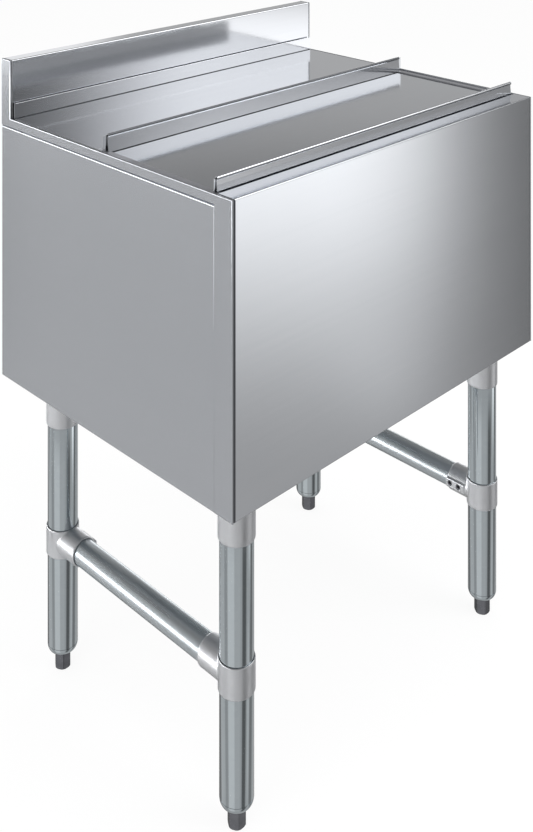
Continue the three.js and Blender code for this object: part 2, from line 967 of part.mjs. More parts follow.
function insertSolid() {
  const { insertDomeTop, insertNose, noseRadius, plugHeight, stemRadius } = foot;
  const bore = stemRadius + gap;
  const plug = leg.tubeRadius - leg.tubeWall - gap;
  const rise = insertDomeTop - insertNose;
  const dome = [];
  for (let step = 0; step <= bendSteps + 2; step++) {
    const angle = ((Math.PI / 2) * step) / (bendSteps + 2);
    const r = noseRadius + (leg.tubeRadius - noseRadius) * Math.sin(angle);
    dome.push([r, insertDomeTop - gap - (rise - gap) * Math.cos(angle)]);
  }
  return turned([
    [bore, insertNose],
    ...dome,
    [plug, insertDomeTop - gap],
    [plug, insertDomeTop + plugHeight],
    [bore, insertDomeTop + plugHeight],
  ], 0, 0);
}

// Six flats that taper to a round tip on the floor, with the stem above
function footSolid() {
  const hexTop = foot.insertNose - gap;
  const corner = foot.hexWidth / Math.sqrt(3);
  const flats = alongZ(hexagon(foot.hexWidth, foot.hexTurn), 0, hexTop);
  const taper = turned([
    [0, 0],
    [foot.tipRadius, 0],
    [corner, foot.tipHeight],
    [corner, hexTop],
    [0, hexTop],
  ], 0, 0);
  const stem = rod(foot.stemRadius, 0, 0, hexTop - gap, hexTop + foot.stemHeight, smallSides);
  return flats.intersect(taper).add(stem);
}

const socketShape = socketSolid();
const teeShape = teeSolid();
const insertShape = insertSolid();
const footShape = footSolid();
const teeScrewLength = tee.branchRadius + tee.padRise - braceBore - screw.recess;
const socketScrewLength = socket.radius + socket.bossRise - legBore - screw.recess;
const teeScrew = screwSolid(teeScrewLength);
const socketScrew = screwSolid(socketScrewLength);
const tubeShape = turned([
  [leg.tubeRadius - leg.tubeWall, leg.tubeBottom],
  [leg.tubeRadius, leg.tubeBottom],
  [leg.tubeRadius, tubeTop],
  [leg.tubeRadius - leg.tubeWall, tubeTop],
], 0, 0);

for (const place of legPlaces) {
  const standing = new THREE.Group();
  standing.position.set(place.x, place.y, 0);
  iceBin.add(standing);
  addTo(standing, `${place.name}_leg_socket`, socketShape, castFitting);
  addTo(standing, `${place.name}_leg_tube`, tubeShape, galvanisedTube);
  addTo(standing, `${place.name}_foot_insert`, insertShape, galvanisedTube);
  addTo(standing, `${place.name}_levelling_foot`, footShape, darkPlastic);
  const socketGrub = socketScrew.translate([0, legBore, socketMouth + socket.screwHeight]);
  addTo(standing, `${place.name}_socket_screw`, socketGrub, darkSteel);

  // a front tee's branch runs back and a back tee's runs forward; pads face the middle
  const turnedOver = place.side * place.inward > 0;
  const halfTurn = place.inward > 0 ? 0 : 180;
  const flip = turnedOver ? 180 : 0;
  const seated = teeShape.rotate([0, flip, 0]).rotate([0, 0, halfTurn]);
  addTo(standing, `${place.name}_brace_tee`, seated.translate([0, 0, tee.centre]), castFitting);
  tee.screwPlaces.forEach((offset, i) => {
    const grub = turnAboutZ(teeScrew, place.side).translate([
      -place.side * braceBore,
      place.inward * offset,
      tee.centre,
    ]);
    addTo(standing, `${place.name}_tee_screw_${i + 1}`, grub, darkSteel);
  });
}

for (const [sideName, side] of [['left', -1], ['right', 1]]) {
  const start = front + leg.fromFront + braceStart + gap;
  const end = back - leg.fromBack - braceStart - gap;
  const tube = turned([
    [brace.tubeRadius - brace.tubeWall, 0],
    [brace.tubeRadius, 0],
    [brace.tubeRadius, end - start],
    [brace.tubeRadius - brace.tubeWall, end - start],
  ], 0, 0).rotate([-90, 0, 0]);
  const x = side * (right - leg.fromSide);
  addTo(underframe, `${sideName}_cross_brace`, tube.translate([x, start, tee.centre]), galvanisedTube);
}

export default iceBin;
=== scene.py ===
import json
import math

import bmesh
import bpy
import numpy as np
from mathutils import Matrix, Vector

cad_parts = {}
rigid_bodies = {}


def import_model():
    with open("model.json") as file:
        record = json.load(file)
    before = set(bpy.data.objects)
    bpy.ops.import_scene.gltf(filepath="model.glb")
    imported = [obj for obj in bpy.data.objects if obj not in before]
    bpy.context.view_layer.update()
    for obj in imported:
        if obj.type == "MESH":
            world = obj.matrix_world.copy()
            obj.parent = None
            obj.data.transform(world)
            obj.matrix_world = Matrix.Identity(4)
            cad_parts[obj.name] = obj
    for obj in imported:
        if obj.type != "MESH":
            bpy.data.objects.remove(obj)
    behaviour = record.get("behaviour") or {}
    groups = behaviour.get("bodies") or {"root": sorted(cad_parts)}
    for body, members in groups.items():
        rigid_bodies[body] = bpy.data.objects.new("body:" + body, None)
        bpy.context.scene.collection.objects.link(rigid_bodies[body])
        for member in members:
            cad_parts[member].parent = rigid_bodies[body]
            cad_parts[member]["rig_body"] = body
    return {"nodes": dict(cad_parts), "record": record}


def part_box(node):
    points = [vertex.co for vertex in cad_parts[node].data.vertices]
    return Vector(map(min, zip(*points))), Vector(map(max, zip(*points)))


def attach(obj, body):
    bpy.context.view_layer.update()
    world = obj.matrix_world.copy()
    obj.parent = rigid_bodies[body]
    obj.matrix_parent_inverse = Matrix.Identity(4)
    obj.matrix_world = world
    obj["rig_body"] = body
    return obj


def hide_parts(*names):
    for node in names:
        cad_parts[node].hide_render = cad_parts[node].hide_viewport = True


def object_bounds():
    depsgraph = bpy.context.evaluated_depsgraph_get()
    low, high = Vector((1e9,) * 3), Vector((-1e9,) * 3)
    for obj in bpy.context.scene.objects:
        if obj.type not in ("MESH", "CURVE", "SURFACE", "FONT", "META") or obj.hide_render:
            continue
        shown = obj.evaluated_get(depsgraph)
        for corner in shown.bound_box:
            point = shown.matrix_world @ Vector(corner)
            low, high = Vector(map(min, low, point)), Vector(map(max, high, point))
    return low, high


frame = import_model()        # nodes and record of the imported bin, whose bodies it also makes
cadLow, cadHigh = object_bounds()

mm = 0.001    # shapes are worked out in millimetres and become metres in their mesh


# Small helpers

def linearColour(hexColour):
    channels = [int(hexColour[i:i + 2], 16) / 255 for i in (1, 3, 5)]
    return [c / 12.92 if c <= 0.04045 else ((c + 0.055) / 1.055) ** 2.4 for c in channels] + [1.0]


def addNode(tree, kind, inputs=None, **settings):
    node = tree.nodes.new(kind)
    for name, value in settings.items():
        setattr(node, name, value)
    for name, value in (inputs or {}).items():
        if isinstance(value, bpy.types.NodeSocket):
            tree.links.new(value, node.inputs[name])
        else:
            node.inputs[name].default_value = value
    return node


def newMaterial(name):
    material = bpy.data.materials.new(name)
    material.use_nodes = True
    material.node_tree.nodes.clear()
    return material, material.node_tree


def newObject(name, data):
    thing = bpy.data.objects.new(name, data)
    bpy.context.scene.collection.objects.link(thing)
    return thing


# Camera: it looks along the bin's diagonal and a little down. The uprights of the view stay
# parallel, so the camera's frame leans: its up axis is the world's.

cameraSettings = {
    "place": (-1.1970, -1.1813, 1.2230),
    "heading": 45.0,    # degrees from +X towards +Y
    "tilt": 28.44,      # degrees under the horizon, to the middle of the picture
    "lens": 57.45,      # mm
    "sensor": 36,       # mm, its long side
}


def makeCamera():
    heading = math.radians(cameraSettings["heading"])
    tilt = math.radians(cameraSettings["tilt"])
    forward = Vector((
        math.cos(heading) * math.cos(tilt),
        math.sin(heading) * math.cos(tilt),
        -math.sin(tilt),
    ))
    across = Vector((math.sin(heading), -math.cos(heading), 0))
    up = Vector((0, 0, 1))
    data = bpy.data.cameras.new("camera")
    data.lens = cameraSettings["lens"]
    data.sensor_width = cameraSettings["sensor"]
    camera = newObject("camera", data)
    camera.parent = newObject("tripod", None)
    leaning = Matrix((across, up, -forward)).transposed().to_4x4()
    camera.matrix_parent_inverse = Matrix.Translation(cameraSettings["place"]) @ leaning
    bpy.context.scene.camera = camera


makeCamera()
print("camera set")


# Surfaces on grids

meshSettings = {
    "weld": 1e-7,         # metres, for the doubled points at seams and poles
    "smoothAngle": 35,    # degrees from which an edge stays sharp
    "flatWeight": 100,    # of large faces in the shading of small ones beside them
}


# Quads of a grid of points stored row by row. The last column joins the first, and where the
# rows wrap, so do the last row and the first.
def gridFaces(rows, columns, wrapRows=False):
    row = np.arange(rows if wrapRows else rows - 1)[:, None]
    column = np.arange(columns)[None, :]
    nextRow, nextColumn = (row + 1) % rows, (column + 1) % columns
    corners = [row * columns + column, row * columns + nextColumn,
               nextRow * columns + nextColumn, nextRow * columns + column]
    return np.stack(np.broadcast_arrays(*corners), axis=-1).reshape(-1, 4)


# The same quads, turned round where six times their volume, the sum of a.(b x c) + a.(c x d), is
# negative.
def outward(points, faces):
    a, b, c, d = (points[faces[:, i]] for i in range(4))
    volume = np.einsum("ij,ij->", a, np.cross(b, c) + np.cross(c, d))
    return faces if volume > 0 else faces[:, ::-1]


# A closed outline whose corners are arcs. An arc's centre lies radius / sin(half the corner's
# angle) along the bisector, and its points turn evenly from one edge to the other.
def roundedOutline(corners, radius, steps=5):
    corners = np.asarray(corners, float)
    radius = np.broadcast_to(radius, len(corners)).astype(float)[:, None]
    before = np.roll(corners, 1, axis=0) - corners
    after = np.roll(corners, -1, axis=0) - corners
    before /= np.linalg.norm(before, axis=1, keepdims=True)
    after /= np.linalg.norm(after, axis=1, keepdims=True)
    half = np.arccos(np.sum(before * after, axis=1, keepdims=True)) / 2
    middle = before + after
    middle /= np.linalg.norm(middle, axis=1, keepdims=True)
    centre = corners + middle * radius / np.sin(half)
    start = corners + before * radius / np.tan(half) - centre
    end = corners + after * radius / np.tan(half) - centre
    sweep = (np.pi - 2 * half)[:, :, None]
    share = np.linspace(0, 1, steps + 1)[None, :, None]
    leaving = np.sin((1 - share) * sweep) * start[:, None]
    arriving = np.sin(share * sweep) * end[:, None]
    return (centre[:, None] + (leaving + arriving) / np.sin(sweep)).reshape(-1, 2)


# The same line with points added, so that no two are further apart than longest.
def denser(outline, longest):
    pieces = []
    for start, end in zip(outline[:-1], outline[1:]):
        count = max(1, math.ceil(np.linalg.norm(end - start) / longest))
        pieces.append(start + (end - start) * np.arange(count)[:, None] / count)
    return np.concatenate(pieces + [outline[-1:]])


# A profile of radius and height turned about Z: x = r cos(angle), y = r sin(angle), z = height. A
# limit gives the most that r may be at each angle, such as a hexagon's edge.
def turned(profile, sides=96, closed=True, limit=None):
    angle = 2 * np.pi * np.arange(sides) / sides
    radius = np.repeat(profile[:, :1], sides, axis=1)
    if limit is not None:
        radius = np.minimum(radius, limit(angle)[None, :])
    height = np.repeat(profile[:, 1:], sides, axis=1)
    points = np.stack([radius * np.cos(angle), radius * np.sin(angle), height], axis=-1).reshape(-1, 3)
    return points, outward(points, gridFaces(len(profile), sides, wrapRows=closed))


# A shape made along +Z, turned so that it points along another axis.
def facing(points, direction):
    x, y, z = points.T
    turns = {"+X": (z, x, y), "-X": (-z, x, -y), "+Y": (y, z, x), "-Y": (-y, -z, x), "+Z": (x, y, z)}
    return np.stack(turns[direction], axis=-1)


# An outline of Y and Z carried from x0 to x1, with a flat face at each end.
def alongX(outline, x0, x1):
    y, z = outline.T
    if np.sum(y * np.roll(z, -1) - np.roll(y, -1) * z) < 0:
        outline = outline[::-1]
    count = len(outline)
    ends = [np.column_stack([np.full(count, x), outline]) for x in (x0, x1)]
    walls = gridFaces(2, count).tolist()
    caps = [list(range(count))[::-1], list(range(count, 2 * count))]
    return np.concatenate(ends), walls + caps


# A mesh object at the origin, with its place in its mesh. Points that coincide are merged.
def newPiece(name, points, faces, material):
    mesh = bpy.data.meshes.new(name)
    mesh.from_pydata((np.asarray(points) * mm).tolist(), [], [list(map(int, face)) for face in faces])
    cleaner = bmesh.new()
    cleaner.from_mesh(mesh)
    bmesh.ops.remove_doubles(cleaner, verts=cleaner.verts, dist=meshSettings["weld"])
    cleaner.to_mesh(mesh)
    cleaner.free()
    mesh.shade_smooth()
    mesh.set_sharp_from_angle(angle=math.radians(meshSettings["smoothAngle"]))
    mesh.materials.append(material)
    return newObject(name, mesh)


# Stage: a white floor, a plain world and a tent round the bin that only its metal mirrors

stageSettings = {
    "floorSize": 40000,
    "floorColour": "#f7f7f7",
    "floorWhite": 0.9,       # share of plain white that the camera sees in the floor
    "worldLight": 0.75,      # what matt surfaces get from the white room
    "tentRadius": 30000,
    "tentStep": 1.0,         # degrees between its points
    "tentStrength": 0.82,    # light for each unit of tone
    "roomTone": 0.56,        # of the tent where no card hangs
}

# azimuth from +X towards +Y, elevation, half width, half height, soft edge across and along
# in degrees, tone
tentCards = {
    "ceiling": (0, 52, 400, 33, 1, 5, 0.30),
    "backWall": (43, 6, 40, 11.5, 12, 4, 0.62),
    "backHorizon": (45, -6, 30, 5, 12, 6, 3.0),
    "leftGlow": (140, 22, 30, 10, 14, 16, 0.62),
    "leftHorizon": (140, -4, 40, 5, 5, 5, 8.0),
    "leftFloor": (118, -32, 24, 20, 8, 10, 0.67),
    "leftEdge": (112, -18, 9, 8, 6, 8, 0.42),
    "cornerFloor": (76, -46, 20, 20, 10, 8, 0.25),
    "sideStripe": (152, -42, 10.5, 18, 6, 6, 0.47),
    "cameraFloor": (190, -42, 23, 22, 7, 8, 0.86),
    "cornerGlow": (230, -42, 18, 22, 12, 8, 0.64),
    "frontStripe": (276.5, -44, 14, 24, 11, 8, 0.16),
    "rightGlow": (308.5, -42, 7, 9, 10, 6, 0.72),
    "rightFloor": (335, -44, 14, 12, 8, 6, 0.29),
    "backGlow": (62, 13, 8.5, 8, 3, 5, 1.25),
    "softboxFoot": (314.2, -12, 8.4, 10, 9, 16, 1.95),
    "softboxStripe": (320, -24.5, 1.5, 2.5, 5, 5, 1.0),
    "rightStripe": (334.5, -18, 9, 18, 8, 8, 0.22),
    "horizon": (316, 1.0, 36, 9.9, 16, 3, 0.42),
    "frontWall": (294, 8, 10, 12, 6, 8, 0.16),
    "softboxTop": (318.3, 27, 10.3, 7.5, 8, 5, 1.7),
    "softbox": (318.5, 17, 10.3, 5.0, 8, 3.5, 1.9),
    "highSoftbox": (327, 43, 22, 8, 10, 6, 5.0),
}


# The room's tone, mixed towards each card's tone by a smooth step across the card's soft edge.
def tentTone(azimuth, elevation):
    tone = np.full(azimuth.shape, stageSettings["roomTone"])
    for turn, rise, halfWidth, halfHeight, softWidth, softHeight, cardTone in tentCards.values():
        across = (np.abs((azimuth - turn + 180) % 360 - 180) - halfWidth) / softWidth + 0.5
        along = (np.abs(elevation - rise) - halfHeight) / softHeight + 0.5
        share = np.clip(1 - np.hypot(np.maximum(across, 0), np.maximum(along, 0)), 0, 1)
        tone += (cardTone - tone) * share * share * (3 - 2 * share)
    return tone


def makeWorld():
    world = bpy.data.worlds.new("whiteRoom")
    bpy.context.scene.world = world
    world.use_nodes = True
    tree = world.node_tree
    tree.nodes.clear()
    path = addNode(tree, "ShaderNodeLightPath")
    mirrored = addNode(tree, "ShaderNodeMath", {
        0: path.outputs["Is Glossy Ray"],
        1: path.outputs["Is Transmission Ray"],
    }, operation="MAXIMUM")
    seen = addNode(tree, "ShaderNodeMath", {
        0: path.outputs["Is Camera Ray"],
        1: mirrored.outputs[0],
    }, operation="MAXIMUM")
    light = addNode(tree, "ShaderNodeBackground", {
        "Color": (1, 1, 1, 1),
        "Strength": stageSettings["worldLight"],
    })
    white = addNode(tree, "ShaderNodeBackground", {"Color": (1, 1, 1, 1), "Strength": 1.0})
    mixed = addNode(tree, "ShaderNodeMixShader", {
        0: seen.outputs[0],
        1: light.outputs[0],
        2: white.outputs[0],
    })
    addNode(tree, "ShaderNodeOutputWorld", {"Surface": mixed.outputs[0]})


def makeFloor():
    half = stageSettings["floorSize"] / 2
    corners = np.array([[-half, -half, 0], [half, -half, 0], [half, half, 0], [-half, half, 0]])
    material, tree = newMaterial("whiteFloor")
    paint = addNode(tree, "ShaderNodeBsdfDiffuse", {"Color": linearColour(stageSettings["floorColour"])})
    white = addNode(tree, "ShaderNodeEmission", {"Color": (1, 1, 1, 1), "Strength": 1.0})
    path = addNode(tree, "ShaderNodeLightPath")
    share = addNode(tree, "ShaderNodeMath", {
        0: path.outputs["Is Camera Ray"],
        1: stageSettings["floorWhite"],
    }, operation="MULTIPLY")
    both = addNode(tree, "ShaderNodeMixShader", {
        0: share.outputs[0],
        1: paint.outputs[0],
        2: white.outputs[0],
    })
    addNode(tree, "ShaderNodeOutputMaterial", {"Surface": both.outputs[0]})
    floor = newPiece("floor", corners, [[0, 1, 2, 3]], material)
    floor.visible_glossy = False


# A sphere on a grid of azimuth and elevation. Only mirror rays see it, and its tone is its light.
def makeTent():
    step = stageSettings["tentStep"]
    azimuth, elevation = np.meshgrid(np.arange(0, 360, step), np.arange(step / 2 - 90, 90, step))
    turn, rise = np.radians(azimuth), np.radians(elevation)
    points = stageSettings["tentRadius"] * np.stack(
        [np.cos(rise) * np.cos(turn), np.cos(rise) * np.sin(turn), np.sin(rise)], axis=-1)
    material, tree = newMaterial("softCards")
    read = addNode(tree, "ShaderNodeAttribute", attribute_name="tone")
    strength = addNode(tree, "ShaderNodeMath", {
        0: read.outputs["Fac"],
        1: stageSettings["tentStrength"],
    }, operation="MULTIPLY")
    glow = addNode(tree, "ShaderNodeEmission", {"Strength": strength.outputs[0]})
    addNode(tree, "ShaderNodeOutputMaterial", {"Surface": glow.outputs[0]})
    material.cycles.emission_sampling = "NONE"
    tent = newPiece("reflectionTent", points.reshape(-1, 3), gridFaces(*azimuth.shape), material)
    tone = tent.data.attributes.new("tone", "FLOAT", "POINT")
    tone.data.foreach_set("value", tentTone(azimuth, elevation).astype(np.float32).ravel())
    tent.visible_camera = tent.visible_diffuse = tent.visible_shadow = False
    tent.visible_volume_scatter = False


bpy.context.scene.view_settings.view_transform = "Standard"
makeWorld()
makeFloor()
makeTent()
print("stage set")


# Lamps: large soft boxes for the matt surfaces. The tent gives the metal its reflections.

lamps = {
    "keyBox": {"place": (1.2, -2.4, 2.6), "size": (2.0, 2.0), "power": 60},
    "fillBox": {"place": (-2.6, -0.6, 2.0), "size": (2.0, 2.4), "power": 30},
    "topBox": {"place": (0.0, 0.2, 3.2), "size": (2.6, 2.6), "power": 30},
}

lampAim = (0, 0, 0.45)    # the middle of the bin


def makeLamps():
    for name, lamp in lamps.items():
        data = bpy.data.lights.new(name, "AREA")
        data.shape = "RECTANGLE"
        data.size, data.size_y = lamp["size"]
        data.energy = lamp["power"]
        box = newObject(name, data)
        box.location = lamp["place"]
        aim = Vector(lampAim) - Vector(lamp["place"])
        box.rotation_euler = aim.to_track_quat("-Z", "Y").to_euler()
        box.visible_camera = box.visible_glossy = False


makeLamps()
print("lamps set")


# Finishes

# What they share: two colours mixed by one pattern, a roughness spread by another, and a relief.
# Most of a noise's values lie in noiseRange.
noiseRange = (0.3, 0.7)


def finishFrom(name, values, patternsOf):
    material, tree = newMaterial(name)
    place = addNode(tree, "ShaderNodeTexCoord").outputs["Object"]
    patterns = patternsOf(tree, place, values)
    colour = addNode(tree, "ShaderNodeMix", {
        0: patterns["shade"],
        6: linearColour(values["colour"]),
        7: linearColour(values["other"]),
    }, data_type="RGBA")
    lowest, highest = patterns.get("range", noiseRange)
    roughness = addNode(tree, "ShaderNodeMapRange", {
        "Value": patterns["uneven"],
        "From Min": lowest,
        "From Max": highest,
        "To Min": values["roughness"] - patterns["spread"],
        "To Max": min(1.0, values["roughness"] + patterns["spread"]),
    })
    surface = addNode(tree, "ShaderNodeBsdfPrincipled", {
        "Base Color": colour.outputs[2],
        "Metallic": values["metallic"],
        "Roughness": roughness.outputs[0],
        "Normal": patterns["relief"],
        **patterns.get("more", {}),
    })
    addNode(tree, "ShaderNodeOutputMaterial", {"Surface": surface.outputs[0]})
    return material


def patternScale(size, along):
    width, length = size
    return [1 / (mm * (length if axis == along else width)) for axis in "XYZ"]


# Stainless sheet, type 304. The brushed one is the common number 4 finish, whose short parallel
# scratches smear a reflection across the grain; the polished one is nearly a mirror. Real
# scratches are about 0.05 mm wide, too fine to show, so they are drawn 0.6 mm wide. What stands
# against a wall is the plain sheet as the mill rolls it, matt and a little darker. The dark finish
# is painted shade, laid in creases, under beads and along seams where shade falls. The pale matt
# finish on the backs of handles is painted light, which the backsplash mirrors bright. The pale
# edge finish paints white highlights along rounded edges.
stainlessFinishes = {
    "brushedAcross": {"colour": "#d0d2d6", "other": "#cccfd3", "metallic": 1.0, "roughness": 0.12,
                      "along": "X", "anisotropy": 0.4, "scratchDepth": 0.0006, "waveDepth": 0.03},
    "brushedDeep": {"colour": "#cfd2d7", "other": "#cbced3", "metallic": 1.0, "roughness": 0.14,
                    "along": "Y", "anisotropy": 0.4, "scratchDepth": 0.0006, "waveDepth": 0.03},
    "polishedAcross": {"colour": "#d5d7db", "other": "#d1d3d7", "metallic": 1.0, "roughness": 0.10,
                       "along": "X", "anisotropy": 0.2, "scratchDepth": 0.0004, "waveDepth": 0.03},
    "millFinish": {"colour": "#b4b6ba", "other": "#aeb0b4", "metallic": 1.0, "roughness": 0.34,
                   "along": "X", "anisotropy": 0.2, "scratchDepth": 0.0006, "waveDepth": 0.03},
    # painted shade: a dark finish for creases, bead undersides, seams and the turned edge's foot
    "paintedShade": {"colour": "#6c6e72", "other": "#66686c", "metallic": 1.0, "roughness": 0.34,
                         "along": "X", "anisotropy": 0.0, "scratchDepth": 0.0006, "waveDepth": 0.0},
    # painted light: a pale matt back that the backsplash mirrors bright
    "paintedLightBack": {"colour": "#eff0f2", "other": "#e8eaec", "metallic": 0.1, "roughness": 0.45,
                   "along": "X", "anisotropy": 0.3, "scratchDepth": 0.001, "waveDepth": 0.0},
    # painted highlight: pale edges that draw white lines along rounded edges
    "paintedEdgeHighlight": {"colour": "#f4f5f6", "other": "#eef0f2", "metallic": 1.0, "roughness": 0.42,
                   "along": "X", "anisotropy": 0.0, "scratchDepth": 0.0006, "waveDepth": 0.0},
}
grain = {
    "scratch": (0.6, 90),    # width and length in mm
    "streak": (6, 600),      # the faint bands that a belt leaves
    "cloud": 120,            # smudges, and the gentle waves of a rolled sheet
    "bothRange": (0.5, 1.5),     # of scratches and clouds added up
    "spread": 0.015,
}


def sheetPatterns(tree, place, values):
    lines = {}
    for line in ("scratch", "streak"):
        stretched = addNode(tree, "ShaderNodeMapping", {
            "Vector": place,
            "Scale": patternScale(grain[line], values["along"]),
        })
        lines[line] = addNode(tree, "ShaderNodeTexNoise", {
            "Vector": stretched.outputs[0],
            "Scale": 1.0,
            "Detail": 3.0,
        }).outputs["Fac"]
    clouds = addNode(tree, "ShaderNodeTexNoise", {
        "Vector": place,
        "Scale": 1 / (mm * grain["cloud"]),
        "Detail": 1.0,
    }).outputs["Fac"]
    waves = addNode(tree, "ShaderNodeBump", {
        "Height": clouds,
        "Strength": 1.0,
        "Distance": values["waveDepth"] * mm,
    })
    scratched = addNode(tree, "ShaderNodeBump", {
        "Height": lines["scratch"],
        "Normal": waves.outputs[0],
        "Strength": 1.0,
        "Distance": values["scratchDepth"] * mm,
    })
    acrossGrain = addNode(tree, "ShaderNodeTangent", direction_type="RADIAL", axis=values["along"])
    both = addNode(tree, "ShaderNodeMath", {0: lines["scratch"], 1: clouds}, operation="ADD")
    return {
        "shade": lines["streak"],
        "uneven": both.outputs[0],
        "range": grain["bothRange"],
        "spread": grain["spread"],
        "relief": scratched.outputs[0],
        "more": {"Anisotropic": values["anisotropy"], "Tangent": acrossGrain.outputs[0]},
    }


# Zinc on steel. A drawn tube shows long soft streaks and pale zinc crystals, bluish beside
# stainless; the sheet under the bin is duller, with crystals of about 9 mm.
zincFinishes = {
    "galvanisedTube": {"colour": "#c9d1d5", "other": "#c4ccd1", "metallic": 1.0, "roughness": 0.11,
                       "crystal": 7, "streak": (5, 300), "along": "Z", "dent": 0.002},
    "groundBrace": {"colour": "#cdd4d8", "other": "#c9d0d5", "metallic": 1.0, "roughness": 0.30,
                    "crystal": 7, "streak": (5, 300), "along": "Y", "dent": 0.001},
    "galvanisedSheet": {"colour": "#b4b8bc", "other": "#9fa4a8", "metallic": 1.0, "roughness": 0.38,
                        "crystal": 9, "streak": (20, 60), "along": "X", "dent": 0.01},
}
zincSpread = 0.15    # share of the roughness


def zincPatterns(tree, place, values):
    crystals = addNode(tree, "ShaderNodeTexVoronoi", {
        "Vector": place,
        "Scale": 1 / (mm * values["crystal"]),
    })
    lightness = addNode(tree, "ShaderNodeSeparateColor", {"Color": crystals.outputs["Color"]}).outputs[0]
    stretched = addNode(tree, "ShaderNodeMapping", {
        "Vector": place,
        "Scale": patternScale(values["streak"], values["along"]),
    })
    streaks = addNode(tree, "ShaderNodeTexNoise", {
        "Vector": stretched.outputs[0],
        "Scale": 1.0,
        "Detail": 2.0,
    }).outputs["Fac"]
    dents = addNode(tree, "ShaderNodeBump", {
        "Height": streaks,
        "Strength": 1.0,
        "Distance": values["dent"] * mm,
    })
    shade = addNode(tree, "ShaderNodeMath", {0: lightness, 1: streaks}, operation="MULTIPLY")
    return {
        "shade": shade.outputs[0],
        "uneven": streaks,
        "spread": values["roughness"] * zincSpread,
        "relief": dents.outputs[0],
    }


# Cast and blackened metal. A die-cast aluminium fitting is satin, with the fine pebbles of its
# mould and slightly darker hollows; blackened steel is dark and takes soft highlights.
castFinishes = {
    "castAluminium": {"colour": "#e4e5e8", "other": "#dadcdf", "metallic": 1.0, "roughness": 0.38,
                      "pebble": 1.1, "pebbleDepth": 0.005},
    "blackenedSteel": {"colour": "#808186", "other": "#66676c", "metallic": 1.0, "roughness": 0.22,
                       "pebble": 0.8, "pebbleDepth": 0.008},
}
castSkin = {"hollow": 14, "spread": 0.12}    # pebbles across a hollow, share of the roughness


def castPatterns(tree, place, values):
    pebbles = addNode(tree, "ShaderNodeTexNoise", {
        "Vector": place,
        "Scale": 1 / (mm * values["pebble"]),
        "Detail": 3.0,
    }).outputs["Fac"]
    hollows = addNode(tree, "ShaderNodeTexNoise", {
        "Vector": place,
        "Scale": 1 / (mm * values["pebble"] * castSkin["hollow"]),
        "Detail": 2.0,
    }).outputs["Fac"]
    skin = addNode(tree, "ShaderNodeBump", {
        "Height": pebbles,
        "Strength": 1.0,
        "Distance": values["pebbleDepth"] * mm,
    })
    return {
        "shade": hollows,
        "uneven": hollows,
        "spread": values["roughness"] * castSkin["spread"],
        "relief": skin.outputs[0],
    }


# Nylon is moulded and faintly shiny. Its dark grey is partly the glide strips' own colour and partly
# painted shade for the gap between the rim and the lids. Rubber is moulded and matt, and the
# insulation is sprayed polyurethane foam with open cells on its cut faces.
softFinishes = {
    # partly painted shade: the dark grey also stands for the gap beside the lids
    "nylonWithGapShade": {"colour": "#5e5f63", "other": "#67686c", "metallic": 0.0, "roughness": 0.12,
                     "cell": 0.7, "depth": 0.002},
    "mouldedRubber": {"colour": "#1d1d1e", "other": "#262627", "metallic": 0.0, "roughness": 0.75,
                      "cell": 0.9, "depth": 0.03},
    "sprayedFoam": {"colour": "#d8c58a", "other": "#e6d8a8", "metallic": 0.0, "roughness": 0.95,
                    "cell": 1.6, "depth": 0.5},
}
softSkin = {"patch": 20, "spread": 0.1, "strength": 0.6}    # cells across a patch, share of the roughness


def softPatterns(tree, place, values):
    cells = addNode(tree, "ShaderNodeTexVoronoi", {
        "Vector": place,
        "Scale": 1 / (mm * values["cell"]),
    }).outputs["Distance"]
    patches = addNode(tree, "ShaderNodeTexNoise", {
        "Vector": place,
        "Scale": 1 / (mm * values["cell"] * softSkin["patch"]),
        "Detail": 3.0,
    }).outputs["Fac"]
    skin = addNode(tree, "ShaderNodeBump", {
        "Height": cells,
        "Strength": softSkin["strength"],
        "Distance": values["depth"] * mm,
    })
    return {
        "shade": patches,
        "uneven": patches,
        "spread": values["roughness"] * softSkin["spread"],
        "relief": skin.outputs[0],
    }


families = [
    (stainlessFinishes, sheetPatterns),
    (zincFinishes, zincPatterns),
    (castFinishes, castPatterns),
    (softFinishes, softPatterns),
]
finishes = {name: finishFrom(name, values, patternsOf)
            for family, patternsOf in families for name, values in family.items()}
slotFinish = {
    "brushed_stainless": "brushedAcross",
    "polished_stainless": "polishedAcross",
    "tube_steel": "galvanisedTube",
    "cast_fitting": "castAluminium",
    "galvanised_steel": "galvanisedSheet",
    "dark_screw": "blackenedSteel",
    "dark_foot": "blackenedSteel",
    "black_nylon": "nylonWithGapShade",
    "insulation_foam": "sprayedFoam",
    "black_rubber": "mouldedRubber",
}
slots = {part["node"]: part["material_slot"] for part in frame["record"]["subparts"]}
for node, slot in slots.items():
    for holder in frame["nodes"][node].material_slots:
        holder.material = finishes[slotFinish[slot]]
print("finishes made")


# How pieces take the place of their CAD nodes

overrun = 5    # mm by which a cutter passes what it cuts


def nodeBox(node):
    low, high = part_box(node)
    return np.array(low) / mm, np.array(high) / mm


def stand(piece, node):
    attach(piece, frame["nodes"][node]["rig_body"])
    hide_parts(node)


# Its modifiers become its mesh.
def settled(piece):
    shape = bpy.data.meshes.new_from_object(piece.evaluated_get(bpy.context.evaluated_depsgraph_get()))
    worn = piece.data
    piece.modifiers.clear()
    piece.data = shape
    bpy.data.meshes.remove(worn)
    return piece


# Joins other closed pieces to this one or cuts them out of it, and removes them.
def combined(piece, others, operation):
    for other in others:
        tool = piece.modifiers.new(operation.lower(), "BOOLEAN")
        tool.operation = operation
        tool.solver = "EXACT"
        tool.object = other
        settled(piece)
        bpy.data.objects.remove(other)
    return piece


def flatShaded(piece):
    flats = piece.modifiers.new("flats", "WEIGHTED_NORMAL")
    flats.keep_sharp = True
    flats.weight = meshSettings["flatWeight"]
    return settled(piece)


